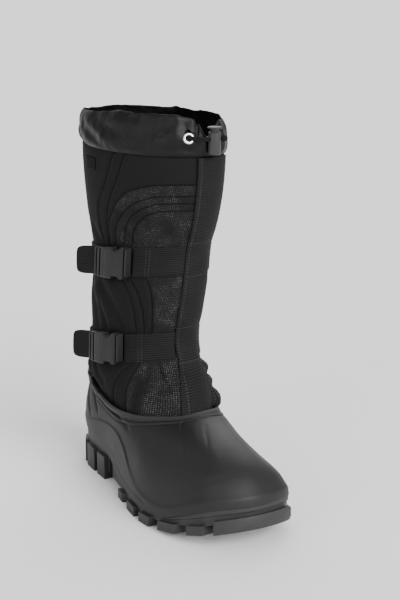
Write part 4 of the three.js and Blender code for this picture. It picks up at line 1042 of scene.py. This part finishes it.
def laid_on(surface, points, out, height):
    """Points brought to their own heights over a surface."""
    return cast_inwards(surface, points, out) + out * height[:, None]


def band_piece(node, material):
    """A length of webbing. The front tape also follows the dressed cloth down to the rubber."""
    mesh = subdivided(creased(merged(node)), 2)
    points = mm(corners(mesh))
    turn, rise, out = on_shaft(points)
    if node == "front_tape":
        off_middle = (round_cloth(turn) - round_cloth(0.5)) / TAPE_HALF
        number_corners(mesh, "off_middle", np.abs(off_middle) * TAPE_HALF)
        foot = smoothly(TAPE_FOOT_TOP - rise, 0.0, TAPE_FOOT_RUN)
        slid = tape_middle(rise) + (turn - 0.5) * tape_share(rise)
        dropped = rise - TAPE_FOOT_DROP / BOOT_HEIGHT * foot
        plain = points + shaft_place(slid, rise) - shaft_place(turn, rise)
        height = height_over(surface_of(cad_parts["shaft"].data), points, out)
        laid = laid_on(surface_of(shaft_mesh), shaft_place(slid, dropped), out, height)
        at_foot = smoothly(TAPE_LAID_TOP - rise, 0.0, TAPE_LAID_RUN)[:, None]
        points = plain * (1 - at_foot) + laid * at_foot
        turn, rise = slid, dropped
        move_corners(mesh, metres(points))
    lay_cloth(mesh, turn, rise)
    return stand_for(node + "_webbing", mesh, material, "webbing", node)


CREASE = 0.8


def creased(work, angle=50):
    """Marks a bmesh's sharp edges so that its subdivision keeps them."""
    layer = work.edges.layers.float.get("crease_edge") or work.edges.layers.float.new("crease_edge")
    for edge in work.edges:
        if len(edge.link_faces) == 2 and edge.calc_face_angle(0) > math.radians(angle):
            edge[layer] = CREASE
    return work


def hem_lift(turn):
    """How far the collar's lower edge rides up at the back of the outer side, in mm."""
    return HEM_LIFT * hump(turn - HEM_LIFT_TURN, HEM_LIFT_WIDTH)


def collar_piece():
    mesh = subdivided(merged("snow_collar"), 3)
    points = mm(corners(mesh))
    turn, rise, out = on_shaft(points)
    flat = on_flat(turn, rise)
    height = np.zeros(len(flat))
    for line, depth, width in COLLAR_CREASES:
        gap = distance_to(cloth_line(line), flat)
        height = height - depth * hump(gap, width)
        height = height + 0.5 * depth * hump(gap - 1.6 * width, width)
    height = height + CRUMPLE * crumples(points)
    from_gather = flat[:, 0] - round_cloth(GATHER_TURN)
    pleats = np.sin(from_gather / PLEAT_PITCH) * PLEAT_DEPTH * hump(from_gather, PLEAT_REACH)
    height = height + pleats * smoothly(flat[:, 1], PLEAT_FOOT, PLEAT_FULL)
    height = height * smoothly(flat[:, 1], HEM_FOOT, HEM_FULL)
    points = points + outward(mesh, out) * height[:, None]
    lifted = smoothly(turn, 0.06, 0.28) * smoothly(GATHER_TURN - turn, 0.0, 0.045)
    up = smoothly(rise, 0.925, 0.99)
    uneven = EDGE_UNEVEN * crumples(points * 0.7 + 31)
    points[:, 2] += FRONT_LIFT * lifted * up + uneven * up
    ring = mm(np.array([middle_of("eyelet")]))[0]
    clear_of_ring = smoothly(np.linalg.norm(points - ring, axis=1), RING_CLEAR, RING_EASED)
    flap = hump(turn - FLAP_TURN, FLAP_WIDTH) * clear_of_ring
    points[:, 2] += FLAP_LIFT * flap * smoothly(rise, 0.925, 0.955)
    points[:, 2] += hem_lift(turn) * (1 - smoothly(rise, 0.915, 0.97))
    move_corners(mesh, metres(points))
    lay_cloth(mesh, turn, rise)
    return stand_for("collar_cloth", mesh, nylon, "snow_collar_nylon", "snow_collar")


def drawn_in(thing):
    """Makes a socket's front bar narrower, so that it is nearly one with the plate."""
    points = mm(corners(thing.data))
    out = on_shaft(points.mean(axis=0)[None])[2][0]
    forward = np.array([-out[1], out[0], 0.0])
    along = points @ forward
    past = np.maximum(along - along.min() - SOCKET_PLATE, 0)
    move_corners(thing.data, metres(points - np.outer(past * (1 - SOCKET_BAR), forward)))


# Shell
LINE_STEP = 1.5


def snapped(line, tree):
    """A table's line with points close together, each laid on the surface."""
    points = np.array(line, float)
    dense = [points[0]]
    for start, end in zip(points[:-1], points[1:]):
        count = max(int(np.linalg.norm(end - start) / LINE_STEP), 1)
        dense += [start + (end - start) * i / count for i in range(1, count + 1)]
    return np.array([mm([tree.find_nearest(Vector(metres(p)))[0]])[0] for p in dense])


def rim_line(tree):
    """The rubber's top edge, found by looking in at it from all round, from above down."""
    found = []
    for step in range(RIM_STEPS):
        angle = 2 * math.pi * step / RIM_STEPS
        inward = Vector((-math.sin(angle), math.cos(angle), 0))
        start = Vector(metres(RIM_CENTRE)) - inward * 0.2
        for drop in range(160):
            start.z = (130 - drop * 0.5) * MM
            hit = tree.ray_cast(start, inward, 0.2)[0]
            if hit:
                found.append(hit)
                break
    line = mm([tuple(p) for p in found])
    for _ in range(8):
        line = (np.roll(line, 1, axis=0) + 2 * line + np.roll(line, -1, axis=0)) / 4
    return np.concatenate([line, line[:1]])


def shell_piece():
    mesh = subdivided(creased(merged("shell"), SHELL_CREASE_ANGLE), 3)
    tree = surface_of(mesh)
    points = mm(corners(mesh))
    height = np.zeros(len(points))
    nearest = np.full(len(points), 30.0)
    for line, depth, width in SHELL_LINES:
        line = snapped(line, tree)
        gap, along = distance_along(line, points)
        whole = np.sqrt((np.diff(line, axis=0) ** 2).sum(axis=1)).sum()
        fading = smoothly(whole - along, 0.0, LINE_FADE)
        shown = fading * smoothly(along, -1.0, 3.0) * min(depth, 1.0)
        nearest = np.minimum(nearest, gap + 2.5 * (1 - shown))
        height = height - depth * fading * hump(gap, width)
    rim = distance_to(rim_line(tree), points)
    for at, stands_out, width in RIM_PROFILE:
        height = height + stands_out * hump(rim - at, width)
        if stands_out < 0:
            nearest = np.minimum(nearest, np.abs(rim - at))
    number_corners(mesh, "rim", rim)
    # Each corner's distance to the nearest groove, along which the rubber's colour carries painted shade.
    number_corners(mesh, "line", nearest)
    points = points + corners(mesh, "normal") * height[:, None]
    off = (points - np.array(RIM_BULGE)) / np.array(RIM_BULGE_SIZE)
    points[:, 0] += RIM_BULGE_WIDTH * np.exp(-(off * off).sum(axis=1))
    off = points - np.array(VAMP_HOLLOW)
    beyond = off @ np.array(VAMP_OUT) - VAMP_BEND * (off @ np.array(VAMP_DOWN)) ** 2
    pressed = VAMP_SOFT * np.log1p(np.exp(np.minimum(beyond / VAMP_SOFT, 30.0)))
    points = points - np.array(VAMP_OUT) * pressed[:, None]
    move_corners(mesh, metres(points))
    return stand_for("shell_rubber", mesh, rubber, "shell_rubber", "shell")


def side_label():
    """The bare woven label at the top of the outer side."""
    work = bmesh.new()
    bmesh.ops.create_grid(work, x_segments=16, y_segments=14, size=1)
    mesh = mesh_of("side_label", work)
    flat = corners(mesh)
    turn = LABEL_TURN + flat[:, 0] * LABEL_HALF_TURN
    rise = LABEL_RISE + flat[:, 1] * LABEL_HALF_RISE
    places = shaft_place(turn, rise)
    out = on_shaft(places)[2]
    lift = np.full(len(places), LABEL_LIFT)
    move_corners(mesh, metres(laid_on(surface_of(shaft_mesh), places, out, lift)))
    lay_cloth(mesh, turn, rise)
    label = stand_for("side_label", mesh, label_cloth, "webbing")
    wall = label.modifiers.new("Cloth", "SOLIDIFY")
    wall.thickness = LABEL_THICKNESS * MM
    wall.offset = 1.0
    return label


shaft_mesh = shaft_piece().data
side_label()
band_piece("front_tape", tape_cloth)
for strap in STRAP_RISES:
    for part in ("front", "rear", "tail"):
        band_piece(f"strap_{strap}_{part}", strap_cloth)
    for part in ("socket", "prong"):
        node = f"buckle_{strap}_{part}"
        moulding = bevelled(node + "_moulding", node, buckle_plastic, "buckle_plastic", 0.5)
        if part == "socket":
            drawn_in(moulding)
collar_piece()
shell_piece()
bevelled("outsole_moulding", "outsole", sole_rubber, "outsole_rubber", 0.9)
bevelled("insole_felt", "insole", felt, "insole_felt", 1.0, segments=2)
bevelled("eyelet_ring", "eyelet", metal, "eyelet_metal", 0.2, segments=2)
bevelled("lock_barrel_moulding", "lock_barrel", lock_plastic, "lock_plastic", 0.3)
bevelled("lock_button_moulding", "lock_button", lock_plastic, "lock_plastic", 0.25, body="lock_button")


# Floor and light
FLOOR_HALF = 30


def floor():
    work = bmesh.new()
    bmesh.ops.create_grid(work, x_segments=2, y_segments=2, size=FLOOR_HALF)
    mesh = mesh_of("floor", work)
    thing = placed("floor", mesh)
    finish = Finish("floor_paper", (0.9, 0.9, 0.9), 0.9)
    tone = finish.mixed(finish.noise(finish.place(), 3, 2), (0.92, 0.92, 0.92), (0.94, 0.94, 0.94))
    finish.color(tone)
    mesh.materials.append(finish.material)


def soft_light(name, place, towards, size, watts):
    data = bpy.data.lights.new(name, "AREA")
    data.shape = "RECTANGLE"
    data.size, data.size_y = size
    data.energy = watts
    lamp = placed(name, data)
    lamp.location = place
    lamp.rotation_mode = "QUATERNION"
    lamp.rotation_quaternion = (Vector(towards) - Vector(place)).to_track_quat("-Z", "Y")


def broad_light(name, towards, width, strength):
    data = bpy.data.lights.new(name, "SUN")
    data.energy = strength
    data.angle = math.radians(width)
    lamp = placed(name, data)
    lamp.rotation_mode = "QUATERNION"
    lamp.rotation_quaternion = Vector(towards).to_track_quat("-Z", "Y")


floor()
world = bpy.data.worlds.new("studio")
bpy.context.scene.world = world
world.use_nodes = True
world.node_tree.nodes["Background"].inputs["Color"].default_value = (1, 1, 1, 1)
world.node_tree.nodes["Background"].inputs["Strength"].default_value = 0.6
soft_light("left", (-2.0, -0.9, 0.9), (0, 0, 0.15), (1.0, 1.4), 14)
broad_light("front", (-0.15, 1.0, -0.5), 45, 4.6)
broad_light("behind", (-0.5, -1.0, -0.9), 60, 1.6)
